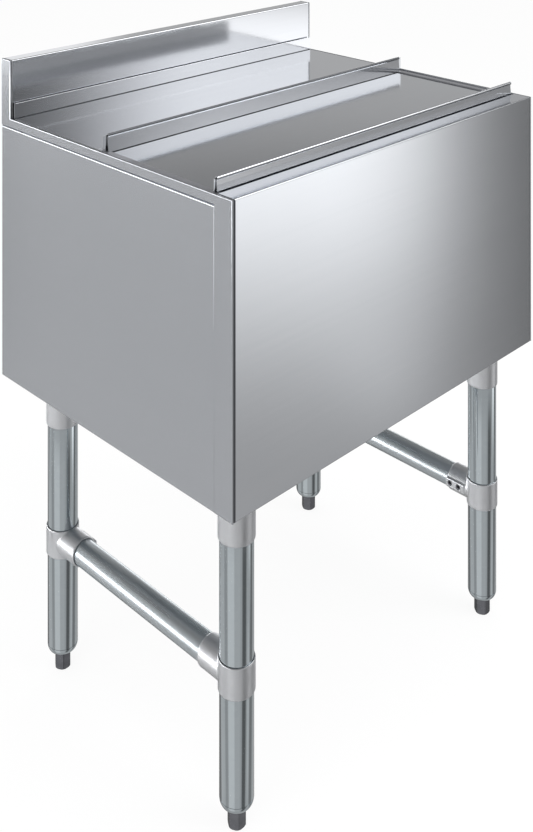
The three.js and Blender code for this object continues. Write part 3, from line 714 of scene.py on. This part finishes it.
# Edges sharper than the angle get a small round, and the flats keep their flat shading.
def softened(piece, width, segments=2, angle=40, finish=None):
    edge = piece.modifiers.new("edge", "BEVEL")
    if finish is not None:
        edge.material = len(piece.data.materials)
        piece.data.materials.append(finish)
    edge.width = width * mm
    edge.segments = segments
    edge.limit_method = "ANGLE"
    edge.angle_limit = math.radians(angle)
    edge.miter_outer = "MITER_ARC"
    return flatShaded(piece)


def faceCentres(piece):
    centres = np.empty(3 * len(piece.data.polygons))
    piece.data.polygons.foreach_get("center", centres)
    return centres.reshape(-1, 3) / mm


# The faces named by an array of yes and no get another finish.
def refinish(piece, faces, finish):
    slot = np.empty(len(faces), int)
    piece.data.polygons.foreach_get("material_index", slot)
    slot[faces] = len(piece.data.materials)
    piece.data.materials.append(finish)
    piece.data.polygons.foreach_set("material_index", slot)


# Folded sheet: each is a merged copy of its CAD node, whose cut edges get the small round that
# a deburred sheet has

sheetPieces = {
    "edge": {"width": 0.35, "segments": 2},
    "flat": 0.5,        # degrees between faces that count as one flat
    "weld": 1e-6,       # metres between points that count as one
    "brushedAcross": ["front_panel", "front_lid_panel", "left_lid_track", "right_lid_track"],
    "millFinish": ["back_panel"],
    "millBack": ["backsplash"],            # only its back wall is unbrushed
    "brushedDeep": ["left_side_panel", "right_side_panel", "left_end_frame", "right_end_frame"],
    "polishedAcross": ["backsplash", "rear_lid_panel"],
    "galvanisedSheet": ["bottom_panel", "left_leg_channel", "right_leg_channel"],
    "nylonWithGapShade": ["left_glide_strip", "right_glide_strip"],
    "narrower": {"front_panel": 0.3},      # mm at each side, for the shadow beside the end frames
    # pieces whose rounded edges get a painted highlight
    "paintedEdgeHighlights": ["front_panel", "backsplash", "front_lid_panel", "rear_lid_panel"],
    "paintedShadeBends": {"front_panel": 1.5},     # mm from each side, painted shade along the bends beside the end frame
}


def mergedCopy(node, finish):
    mesh = frame["nodes"][node].data.copy()
    cleaner = bmesh.new()
    cleaner.from_mesh(mesh)
    bmesh.ops.remove_doubles(cleaner, verts=cleaner.verts, dist=sheetPieces["weld"])
    bmesh.ops.dissolve_limit(
        cleaner,
        angle_limit=math.radians(sheetPieces["flat"]),
        verts=cleaner.verts,
        edges=cleaner.edges,
    )
    cleaner.to_mesh(mesh)
    cleaner.free()
    mesh.shade_smooth()
    mesh.materials.clear()
    mesh.materials.append(finishes[finish])
    return newObject(f"{node}_sheet", mesh)


def makeSheets():
    for finish in [name for name in finishes if name in sheetPieces]:
        for node in sheetPieces[finish]:
            sheet = mergedCopy(node, finish)
            if node in sheetPieces["narrower"]:
                halfWidth = nodeBox(node)[1][0]
                share = 1 - sheetPieces["narrower"][node] / halfWidth
                sheet.data.transform(Matrix.Diagonal((share, 1, 1, 1)))
            # a pale edge finish paints a white highlight along these pieces' rounded edges
            highlightFinish = finishes["paintedEdgeHighlight"] if node in sheetPieces["paintedEdgeHighlights"] else None
            piece = softened(sheet, **sheetPieces["edge"], finish=highlightFinish)
            if node in sheetPieces["millBack"]:
                behind = nodeBox(node)[1][1] - sheetPieces["edge"]["width"]
                refinish(piece, faceCentres(piece)[:, 1] > behind, finishes["millFinish"])
            # a painted shade line down each side bend of the front panel
            if node in sheetPieces["paintedShadeBends"]:
                corner = nodeBox(node)[1][0] - sheetPieces["paintedShadeBends"][node]
                refinish(piece, np.abs(faceCentres(piece)[:, 0]) > corner, finishes["paintedShade"])
            stand(piece, node)


makeSheets()
print("sheet made")


# Lids: the upright of each handle is the end of its sheet, rolled forward into a bead and folded
# down in front; the rear lid's back edge is turned up

handleFold = {
    "sheet": 1.2,
    "bead": 2.2,          # radius of the roll, outside
    "neck": 0.9,          # radius of the turn under the bead, at the sheet's middle
    "footBack": 4.35,     # front face of the fold at its foot, in front of the upright's back
    "faceLean": {"front_lid_handle": 0.107, "rear_lid_handle": 0.066},     # forward for each mm down
    "footGap": {"front_lid_handle": 0.0, "rear_lid_handle": -1.3},     # fold's lower edge over the upright's
    "paintedShadeFoot": 1.0,        # mm of painted shade along the foot of the rear lid's turned edge
    "paintedShadeArc": {"front_lid_handle": (80, 125), "rear_lid_handle": (25, 112)},  # painted shade on the bead, in degrees from its top
    "hemInset": {"front_lid_handle": 2.5, "rear_lid_handle": 7.0},
    "notch": {"front_lid_handle": ("front_lid_panel", "rear_lid_panel")},
    "notchReach": 20,     # half the side of the notch's cutter
    "edge": 0.25,
    "edgeAngle": 50,      # degrees from which an edge is rounded
    "flangeRound": 0.45,  # share of the sheet, at the turned edge
    "skin": {"bead": 0.3, "back": 0.05, "foot": 0.1},    # how far a face's centre may lie from its surface
    "rollSteps": 24,
    "turnSteps": 8,
}


# The middle line of the sheet runs up, turns round the bead's centre at the bead's radius less
# half a sheet, turns back at the neck's radius and runs down. The outline lies half a sheet to
# each side of that line.
def rolledFold(back, bottom, top, lean, footGap):
    half = handleFold["sheet"] / 2
    bead = handleFold["bead"] - half
    neck = handleFold["neck"]
    centre = np.array([back - handleFold["bead"], top - handleFold["bead"]])
    face = back - handleFold["footBack"] + half + lean * (top - 2 * handleFold["bead"] - bottom)
    drop = face - centre[0]
    last = 2 * np.pi - np.arccos((drop - neck) / (bead + neck))
    roll = np.linspace(0, last, handleFold["rollSteps"] + 1)
    turn = np.linspace(last - np.pi, 0, handleFold["turnSteps"] + 1)
    neckCentre = centre + (bead + neck) * np.array([np.cos(last), np.sin(last)])
    fall = neckCentre[1] - bottom - footGap
    line = np.concatenate([
        [[back - half, bottom]],
        centre + bead * np.column_stack([np.cos(roll), np.sin(roll)]),
        neckCentre + neck * np.column_stack([np.cos(turn), np.sin(turn)])[1:],
        [[neckCentre[0] + neck - lean * fall, neckCentre[1] - fall]],
    ])
    heading = np.gradient(line, axis=0)
    heading[0], heading[-1] = (0, 1), (-lean, -1)
    heading[1] = (0, 1)
    heading /= np.linalg.norm(heading, axis=1, keepdims=True)
    side = half * np.column_stack([-heading[:, 1], heading[:, 0]])
    return np.concatenate([line + side, (line - side)[::-1]])


def makeHandle(node):
    low, high = nodeBox(node)
    finish = finishes["polishedAcross"]
    reach = high[0] - handleFold["hemInset"][node]
    lean, footGap = handleFold["faceLean"][node], handleFold["footGap"][node]
    outline = rolledFold(high[1], low[2], high[2], lean, footGap)
    upright = np.array([
        [high[1] - handleFold["sheet"], low[2]],
        [high[1], low[2]],
        [high[1], high[2] - handleFold["bead"]],
        [high[1] - handleFold["sheet"], high[2] - handleFold["bead"]],
    ])
    piece = newPiece(f"{node}_fold", *alongX(outline, -reach, reach), finish)
    strip = newPiece("strip", *alongX(upright, low[0], high[0]), finish)
    combined(piece, [strip], "UNION")
    if node in handleFold["notch"]:
        ownPanel, otherPanel = (nodeBox(other) for other in handleFold["notch"][node])
        reach = handleFold["notchReach"]
        notch = np.array([[-1, -1], [1, -1], [1, 1], [-1, 1]]) * reach + [
            (low[1] + high[1]) / 2, otherPanel[0][2] - reach]
        cutters = [newPiece("cutter", *alongX(notch, *ends), finish) for ends in (
            (low[0] - overrun, ownPanel[0][0]), (ownPanel[1][0], high[0] + overrun))]
        combined(piece, cutters, "DIFFERENCE")
    # the rounded edges get a painted highlight
    softened(piece, handleFold["edge"], angle=handleFold["edgeAngle"], finish=finishes["paintedEdgeHighlight"])

    # painted shade on part of the bead's outside, and painted light on the back of the sheet: a pale
    # matt white that the backsplash mirrors bright
    centre = np.array([high[1] - handleFold["bead"], high[2] - handleFold["bead"]])
    centres = faceCentres(piece)
    skin = handleFold["skin"]
    refinish(piece, centres[:, 1] > high[1] - skin["back"], finishes["paintedLightBack"])
    forward, over = ((centres[:, 1:] - centre) * [-1, 1]).T
    angle = np.degrees(np.arctan2(forward, over))
    first, last = handleFold["paintedShadeArc"][node]
    outside = np.abs(np.hypot(forward, over) - handleFold["bead"]) < skin["bead"]
    refinish(piece, outside & (angle > first) & (angle < last), finishes["paintedShade"])
    stand(piece, node)


def makeBackFlange():
    low, high = nodeBox("rear_lid_back_flange")
    sheet = high[1] - low[1]
    outline = roundedOutline(
        [[low[1], low[2]], [high[1], low[2]], [high[1], high[2]], [low[1], high[2]]],
        handleFold["flangeRound"] * sheet, steps=4)
    footTop = nodeBox("rear_lid_panel")[1][2] + handleFold["paintedShadeFoot"]
    outline = np.concatenate([outline, [[low[1], footTop]]])
    piece = newPiece("rear_lid_turned_edge", *alongX(outline, low[0], high[0]), finishes["polishedAcross"])
    softened(piece, handleFold["edge"], angle=handleFold["edgeAngle"])
    # painted shade along the turned edge's foot
    centres = faceCentres(piece)
    foot = (centres[:, 1] < low[1] + handleFold["skin"]["foot"]) & (centres[:, 2] < footTop)
    refinish(piece, foot, finishes["paintedShade"])
    stand(piece, "rear_lid_back_flange")


for lidHandle in handleFold["hemInset"]:
    makeHandle(lidHandle)
makeBackFlange()
print("lids made")


# Ice liner: a pressed tub. Each row of the grid is a rectangle with round corners, or a circle
# at the drain; rows run from the flange's edge down the inside, across the floor, back up the
# outside and so close on themselves.

iceLiner = {
    "sheet": 1.2,
    "wallFromSide": 30,
    "wallFromFront": 30,
    "wallFromBack": 32,
    "cornerRadius": 15,
    "floorRadius": 12,
    "mouthRadius": 2.5,
    "flangeCorner": 4,
    "drainHole": 24.4,
    "cornerSteps": 10,
    "bendSteps": 8,
}


# Four quarter circles of one radius, each about its own corner's centre.
def roundRectangle(x0, x1, y0, y1, radius):
    quarter = np.linspace(0, np.pi / 2, iceLiner["cornerSteps"] + 1)
    corners = [(x1, y1, 0), (x0, y1, 1), (x0, y0, 2), (x1, y0, 3)]
    middle = np.array([(x0 + x1) / 2, (y0 + y1) / 2])
    rows = []
    for x, y, turn in corners:
        centre = np.array([x, y]) + radius * np.sign(middle - [x, y])
        angle = quarter + turn * np.pi / 2
        rows.append(centre + radius * np.column_stack([np.cos(angle), np.sin(angle)]))
    return np.concatenate(rows)


def makeLiner():
    values = iceLiner
    low, high = nodeBox("ice_liner")
    binLow, binHigh = np.array(cadLow) / mm, np.array(cadHigh) / mm
    x1 = binHigh[0] - values["wallFromSide"]
    y0 = binLow[1] + values["wallFromFront"]
    y1 = binHigh[1] - values["wallFromBack"]
    sheet, top, floor = values["sheet"], high[2], low[2] + values["sheet"]

    def cavity(inset):
        radius = values["cornerRadius"] - inset
        return roundRectangle(-x1 + inset, x1 - inset, y0 + inset, y1 - inset, radius)

    edge = roundRectangle(low[0], high[0], low[1], high[1], values["flangeCorner"])
    wall = cavity(0)
    angle = np.arctan2(wall[:, 1], wall[:, 0])
    drain = values["drainHole"] * np.column_stack([np.cos(angle), np.sin(angle)])
    bend = np.linspace(0, np.pi / 2, values["bendSteps"] + 1)
    mouth, turn = values["mouthRadius"], values["floorRadius"]
    rows = [(edge, top - sheet), (edge, top)]
    rows += [(cavity(-mouth * (1 - math.sin(a))), top - mouth * (1 - math.cos(a))) for a in bend]
    rows += [(cavity(turn * (1 - math.cos(a))), floor + turn * (1 - math.sin(a))) for a in bend]
    rows += [(drain, floor), (drain, floor - sheet)]
    outer = turn + sheet
    rows += [(cavity(turn - outer * math.sin(a)), floor + turn - outer * math.cos(a)) for a in bend]
    rows += [(cavity(-sheet), top - sheet)]
    points = np.concatenate([np.column_stack([row, np.full(len(row), z)]) for row, z in rows])
    faces = outward(points, gridFaces(len(rows), len(edge), wrapRows=True))
    piece = newPiece("ice_liner_tub", points, faces, finishes["polishedAcross"])
    stand(flatShaded(piece), "ice_liner")


makeLiner()
print("liner made")


# Drain: a turned body with a flange on the liner's floor and a drilled strainer in its mouth

drainFitting = {
    "edge": 0.5,
    "flangeThickness": 1.5,
    "bodyRadius": 24,
    "bodyBore": 20,
    "bodyDepth": 38,
    "neck": 3,
    "outletRadius": 16.7,
    "outletBore": 13.3,
    "seatRadius": 23,
    "seatDepth": 4,
    "holeRadius": 2.2,
    "rings": {7.5: 6, 15.5: 12},     # radius and number of holes
    "holeSides": 24,
    "discRound": 0.3,
    "holeEdge": 0.15,
    "edgeAngle": 50,
}


def makeDrain():
    values = drainFitting
    low, high = nodeBox("drain_body")
    top, flange = high[2], high[0]
    under = top - values["flangeThickness"]
    shoulder = under - values["bodyDepth"]
    neck = shoulder - values["neck"]
    profile = roundedOutline([
        [values["seatRadius"], top],
        [flange, top],
        [flange, under],
        [values["bodyRadius"], under],
        [values["bodyRadius"], neck],
        [values["outletRadius"], neck - values["flangeThickness"]],
        [values["outletRadius"], low[2]],
        [values["outletBore"], low[2]],
        [values["outletBore"], neck],
        [values["bodyBore"], shoulder],
        [values["bodyBore"], top - values["seatDepth"]],
        [values["seatRadius"], top - values["seatDepth"]],
    ], values["edge"], steps=3)
    piece = newPiece("drain_turned_body", *turned(profile), finishes["polishedAcross"])
    stand(piece, "drain_body")

    low, high = nodeBox("drain_strainer")
    disc = roundedOutline([[0, low[2]], [high[0], low[2]], [high[0], high[2]], [0, high[2]]],
                          [0, values["discRound"], values["discRound"], 0], steps=3)
    piece = newPiece("drain_drilled_strainer", *turned(disc, closed=False), finishes["polishedAcross"])
    start, end = low[2] - overrun, high[2] + overrun
    drill = np.array([[0, start], [values["holeRadius"], start], [values["holeRadius"], end], [0, end]])
    points, faces = turned(drill, sides=values["holeSides"], closed=False)
    drills = []
    for radius, count in values["rings"].items():
        for angle in 2 * np.pi * np.arange(count) / count:
            shift = [radius * math.cos(angle), radius * math.sin(angle), 0]
            drills.append(newPiece("drill", points + shift, faces, finishes["polishedAcross"]))
    combined(piece, drills, "DIFFERENCE")
    softened(piece, values["holeEdge"], angle=values["edgeAngle"])
    stand(piece, "drain_strainer")


makeDrain()
print("drain made")


# Legs and braces: drawn tubes with small rounds at their cut ends

tubes = {"wall": 1.5, "edge": 0.4}
legNames = ["front_left", "front_right", "back_left", "back_right"]


# Where a leg's axis meets the floor.
def legPlace(leg):
    low, high = nodeBox(f"{leg}_leg_tube")
    return np.array([(low[0] + high[0]) / 2, (low[1] + high[1]) / 2, 0])


def ringSection(radius, z0, z1):
    inner = radius - tubes["wall"]
    return roundedOutline([[inner, z0], [radius, z0], [radius, z1], [inner, z1]], tubes["edge"], steps=3)


def makeTubes():
    for leg in legNames:
        node = f"{leg}_leg_tube"
        low, high = nodeBox(node)
        points, faces = turned(ringSection((high[0] - low[0]) / 2, low[2], high[2]))
        piece = newPiece(f"{leg}_drawn_leg", points + legPlace(leg), faces, finishes["galvanisedTube"])
        stand(piece, node)
    for side in ("left", "right"):
        node = f"{side}_cross_brace"
        low, high = nodeBox(node)
        points, faces = turned(ringSection((high[0] - low[0]) / 2, low[1], high[1]))
        points = facing(points, "+Y") + [(low[0] + high[0]) / 2, 0, (low[2] + high[2]) / 2]
        piece = newPiece(f"{side}_drawn_brace", points, faces, finishes["groundBrace"])
        stand(piece, node)


makeTubes()
print("tubes made")


# Cast fittings: plain closed forms are fused by a fine remesh and smoothed, which leaves the
# soft fillets of a casting. The bores are cut afterwards with small chamfers, and the screw holes
# plain.

castShape = {"voxel": 0.8, "smoothing": 0.5, "smoothings": 3, "spacing": 2.0, "bore": 20.95,
             "boreChamfer": 0.8, "screwHole": 4.1, "drillReach": (5, 40), "drillSides": 48}
socketShape = {"collar": 22.5, "lowerRound": 2.2, "upperRound": 0.4, "flangeThickness": 3,
               "flangeRound": 1.0, "screwOverMouth": 24, "bossRadius": 7, "bossStart": 5,
               "bossRise": 3, "bossRound": 1.0}
teeShape = {"collar": 22.4, "endRound": 1.0, "branch": 19.1, "branchRound": 2.0, "branchBore": 17.0,
            "boreStart": 22.55, "padDepth": 2, "padRise": 2.2, "padHeight": 13, "padRound": 1.2,
            "padStart": 18, "screwPlaces": (28, 43)}


# A solid cylinder along Z whose two ends have their own rounds.
def rod(radius, z0, z1, firstRound=0.0, lastRound=0.0):
    steps = 6
    profile = roundedOutline([[0, z0], [radius, z0], [radius, z1], [0, z1]],
                             [0, firstRound, lastRound, 0], steps=steps)
    return turned(denser(profile[steps:-steps], castShape["spacing"]), closed=False)


def fused(name, forms, finish):
    joiner = bmesh.new()
    for form in forms:
        joiner.from_mesh(form.data)
        bpy.data.objects.remove(form)
    mesh = bpy.data.meshes.new(name)
    joiner.to_mesh(mesh)
    joiner.free()
    mesh.materials.append(finish)
    piece = newObject(name, mesh)
    remesh = piece.modifiers.new("fuse", "REMESH")
    remesh.mode = "VOXEL"
    remesh.voxel_size = castShape["voxel"] * mm
    remesh.use_smooth_shade = True
    smooth = piece.modifiers.new("smooth", "SMOOTH")
    smooth.factor = castShape["smoothing"]
    smooth.iterations = castShape["smoothings"]
    return settled(piece)


# A cylinder along Z that widens by the chamfer and overruns at its upper end, and at its lower end
# too if it goes through.
def boreCutter(radius, z0, z1, through=True):
    chamfer = castShape["boreChamfer"]
    wide = radius + chamfer + overrun
    low = [[0, z0], [radius, z0]]
    if through:
        low = [[0, z0 - overrun], [wide, z0 - overrun], [radius, z0 + chamfer]]
    high = [[radius, z1 - chamfer], [wide, z1 + overrun], [0, z1 + overrun]]
    return turned(np.array(low + high, float), closed=False)


def screwDrill():
    radius = castShape["screwHole"]
    start, end = castShape["drillReach"]
    profile = np.array([[0, start], [radius, start], [radius, end], [0, end]], float)
    return turned(profile, sides=castShape["drillSides"], closed=False)


# A copy of a casting stands at its place, in mm.
def placeCasting(casting, name, node, place, turn=Matrix.Identity(4)):
    mesh = casting.data.copy()
    mesh.transform(Matrix.Translation(place * mm) @ turn)
    stand(newObject(name, mesh), node)


def makeTees():
    values = teeShape
    finish = finishes["castAluminium"]
    low, high = nodeBox("front_left_brace_tee")
    half = (high[2] - low[2]) / 2
    reach = high[1] - legPlace("front_left")[1]
    branchPoints, branchFaces = rod(values["branch"], 0, reach, 0, values["branchRound"])
    padFace = values["branch"] + values["padRise"]
    padOutline = roundedOutline(
        np.array([[values["padStart"], -0.5], [reach, -0.5], [reach, 0.5], [values["padStart"], 0.5]])
        * [1, values["padHeight"]], values["padRound"])
    pad = alongX(padOutline, values["padDepth"], padFace)
    collar = rod(values["collar"], -half, half, values["endRound"], values["endRound"])
    casting = fused("tee_casting", [
        newPiece("collar", *collar, finish),
        newPiece("branch", facing(branchPoints, "+Y"), branchFaces, finish),
        newPiece("pad", *pad, finish),
    ], finish)
    legBore = boreCutter(castShape["bore"], -half, half)
    branchBore = boreCutter(values["branchBore"], values["boreStart"], reach, through=False)
    cutters = [newPiece("cutter", *legBore, finish),
               newPiece("cutter", facing(branchBore[0], "+Y"), branchBore[1], finish)]
    drill = screwDrill()
    cutters += [newPiece("cutter", facing(drill[0], "+X") + [0, place, 0], drill[1], finish)
                for place in values["screwPlaces"]]
    combined(casting, cutters, "DIFFERENCE")

    # the pad faces the middle of the bin and the branch faces the other leg: half turns of one casting
    turns = {"front_left": (1, 1, 1), "front_right": (-1, 1, -1), "back_left": (1, -1, -1),
             "back_right": (-1, -1, 1)}
    for leg in legNames:
        node = f"{leg}_brace_tee"
        low, high = nodeBox(node)
        centre = legPlace(leg) + [0, 0, (low[2] + high[2]) / 2]
        placeCasting(casting, f"{leg}_cast_tee", node, centre, Matrix.Diagonal((*turns[leg], 1)))
    bpy.data.objects.remove(casting)


def makeSockets():
    values = socketShape
    finish = finishes["castAluminium"]
    low, high = nodeBox("front_left_leg_socket")
    flange = (high[0] - low[0]) / 2
    top, mouth = high[2], low[2]
    collar = rod(values["collar"], mouth, top, values["lowerRound"], values["upperRound"])
    under, rim = top - values["flangeThickness"], values["flangeRound"]
    bossFace = values["collar"] + values["bossRise"]
    bossPoints, bossFaces = rod(values["bossRadius"], values["bossStart"], bossFace, 0, values["bossRound"])
    screwHeight = mouth + values["screwOverMouth"]
    casting = fused("socket_casting", [
        newPiece("collar", *collar, finish),
        newPiece("flange", *rod(flange, under, top, rim, rim), finish),
        newPiece("boss", facing(bossPoints, "+Y") + [0, 0, screwHeight], bossFaces, finish),
    ], finish)
    bore = boreCutter(castShape["bore"], mouth, top)
    drill = screwDrill()
    combined(casting, [
        newPiece("cutter", *bore, finish),
        newPiece("cutter", facing(drill[0], "+Y") + [0, 0, screwHeight], drill[1], finish),
    ], "DIFFERENCE")
    for leg in legNames:
        placeCasting(casting, f"{leg}_cast_socket", f"{leg}_leg_socket", legPlace(leg))
    bpy.data.objects.remove(casting)


makeTees()
makeSockets()
print("castings made")


# Feet: a domed insert closes the tube's end, and a six-sided foot on a threaded stem hangs under it

footShape = {
    "domeNose": 13.5,       # radius of the dome's flat nose
    "domeRise": 10,
    "domeGap": 0.15,        # dome to the tube's end
    "plugWall": 1.8,        # tube's radius less the plug's
    "bore": 6.3,
    "hexWidth": 20,
    "hexTurn": -0.03,       # radians
    "cornerWear": 0.15,      # taken off the hexagon's corners
    "tipRadius": 10.3,
    "tipHeight": 1.6,
    "stemRadius": 6,
    "hexHeight": 23.7,
    "threadPitch": 1.75,
    "threadDepth": 0.5,
    "threadEnds": (1, 1.5),     # plain stem under and over the thread
    "rounds": {"tip": 0.5, "hexagon": 0.4, "neck": 0.2, "stem": 0.8},
    "spacing": 0.8,             # between points down the foot
    "domeSteps": 18,
    "pitchSteps": 8,
}


# r = nose + (radius - nose) sin a and z = end of the tube - rise cos a, for a from 0 to 90
# degrees.
def domeProfile(radius, low, high):
    values = footShape
    angle = np.linspace(0, np.pi / 2, values["domeSteps"] + 1)
    top = low + values["domeRise"] - values["domeGap"]
    dome = np.column_stack([
        values["domeNose"] + (radius - values["domeNose"]) * np.sin(angle),
        top - (top - low) * np.cos(angle),
    ])
    plug, bore = radius - values["plugWall"], values["bore"]
    return np.concatenate([[[bore, low]], dome, [[plug, top], [plug, high], [bore, high]]])


# Half the width over the cosine of the angle from the nearest flat, less the wear of the corners.
def hexagonLimit(angle):
    half = footShape["hexWidth"] / 2
    offset = (angle % (np.pi / 3)) - np.pi / 6
    return np.minimum(half / np.cos(offset), half / math.cos(math.pi / 6) - footShape["cornerWear"])


# A cone from the tip to the hexagon's corners, the flats, and the threaded stem above them: the
# thread's depth follows a cosine of the height, one wave for each pitch.
def footProfile(high):
    values = footShape
    rounds, steps = values["rounds"], 5
    corner = values["hexWidth"] / math.sqrt(3)
    body = roundedOutline([
        [0, 0],
        [values["tipRadius"], 0],
        [corner, values["tipHeight"]],
        [corner, values["hexHeight"]],
        [values["stemRadius"], values["hexHeight"]],
        [values["stemRadius"], high],
        [0, high],
    ], [0, rounds["tip"], rounds["hexagon"], rounds["hexagon"], rounds["neck"], rounds["stem"], 0],
        steps=steps)
    first, last = values["threadEnds"]
    height = np.arange(values["hexHeight"] + first, high - last,
                       values["threadPitch"] / values["pitchSteps"])
    wave = np.cos(2 * np.pi * height / values["threadPitch"]) - 1
    thread = np.column_stack([values["stemRadius"] + wave * values["threadDepth"] / 2, height])
    perCorner = steps + 1
    stemTop = 5 * perCorner    # five of the outline's corners lie under the thread
    lower = denser(body[steps:stemTop], values["spacing"])
    return np.concatenate([lower, thread, body[stemTop:stemTop + perCorner + 1]])


def makeFeet():
    values = footShape
    for leg in legNames:
        tubeLow, tubeHigh = nodeBox(f"{leg}_leg_tube")
        centre = legPlace(leg)
        low, high = nodeBox(f"{leg}_foot_insert")
        points, faces = turned(domeProfile((tubeHigh[0] - tubeLow[0]) / 2, low[2], high[2]))
        piece = newPiece(f"{leg}_domed_insert", points + centre, faces, finishes["galvanisedTube"])
        stand(piece, f"{leg}_foot_insert")
        high = nodeBox(f"{leg}_levelling_foot")[1]
        points, faces = turned(footProfile(high[2]), closed=False, limit=hexagonLimit)
        turn = Matrix.Rotation(values["hexTurn"], 3, "Z")
        points = points @ np.array(turn).T
        piece = newPiece(f"{leg}_hexagon_foot", points + centre, faces, finishes["blackenedSteel"])
        stand(piece, f"{leg}_levelling_foot")


makeFeet()
print("feet made")


# Grub screws: a hexagon recess, a flat end and a chamfer, turned from one profile

grubScrew = {"radius": 3.8, "chamfer": 0.5, "keyWidth": 4, "keyDepth": 3, "keyLip": 0.15,
             "keyRim": 0.25, "sides": 48}


# The recess's wall: half its width over the cosine of the angle from the nearest flat.
def keyLimit(angle):
    return grubScrew["keyWidth"] / 2 / np.cos((angle % (np.pi / 3)) - np.pi / 6)


# Rows of the recess follow the key's hexagon, and the other rows are circles.
def makeScrew(node, direction):
    values = grubScrew
    low, high = nodeBox(node)
    axis = "XYZ".index(direction[1])
    length = high[axis] - low[axis]
    corner, floor = values["keyWidth"] / math.sqrt(3), length - values["keyDepth"]
    key = turned(np.array([[0, floor], [corner, floor], [corner, length - values["keyLip"]]]),
                 sides=values["sides"], closed=False, limit=keyLimit)[0]
    body = turned(np.array([
        [corner + values["keyRim"], length],
        [values["radius"] - values["chamfer"], length],
        [values["radius"], length - values["chamfer"]],
        [values["radius"], values["chamfer"]],
        [values["radius"] - values["chamfer"], 0],
        [0, 0],
    ]), sides=values["sides"], closed=False)[0]
    points = np.concatenate([key, body])
    faces = outward(points, gridFaces(len(points) // values["sides"], values["sides"]))
    centre = (low + high) / 2
    centre[axis] = low[axis] if direction[0] == "+" else high[axis]
    piece = newPiece(f"{node}_grub", facing(points, direction) + centre, faces, finishes["blackenedSteel"])
    stand(piece, node)


for leg in legNames:
    makeScrew(f"{leg}_socket_screw", "+Y")
    for number in (1, 2):
        makeScrew(f"{leg}_tee_screw_{number}", "+X" if leg.endswith("left") else "-X")
print("screws made")
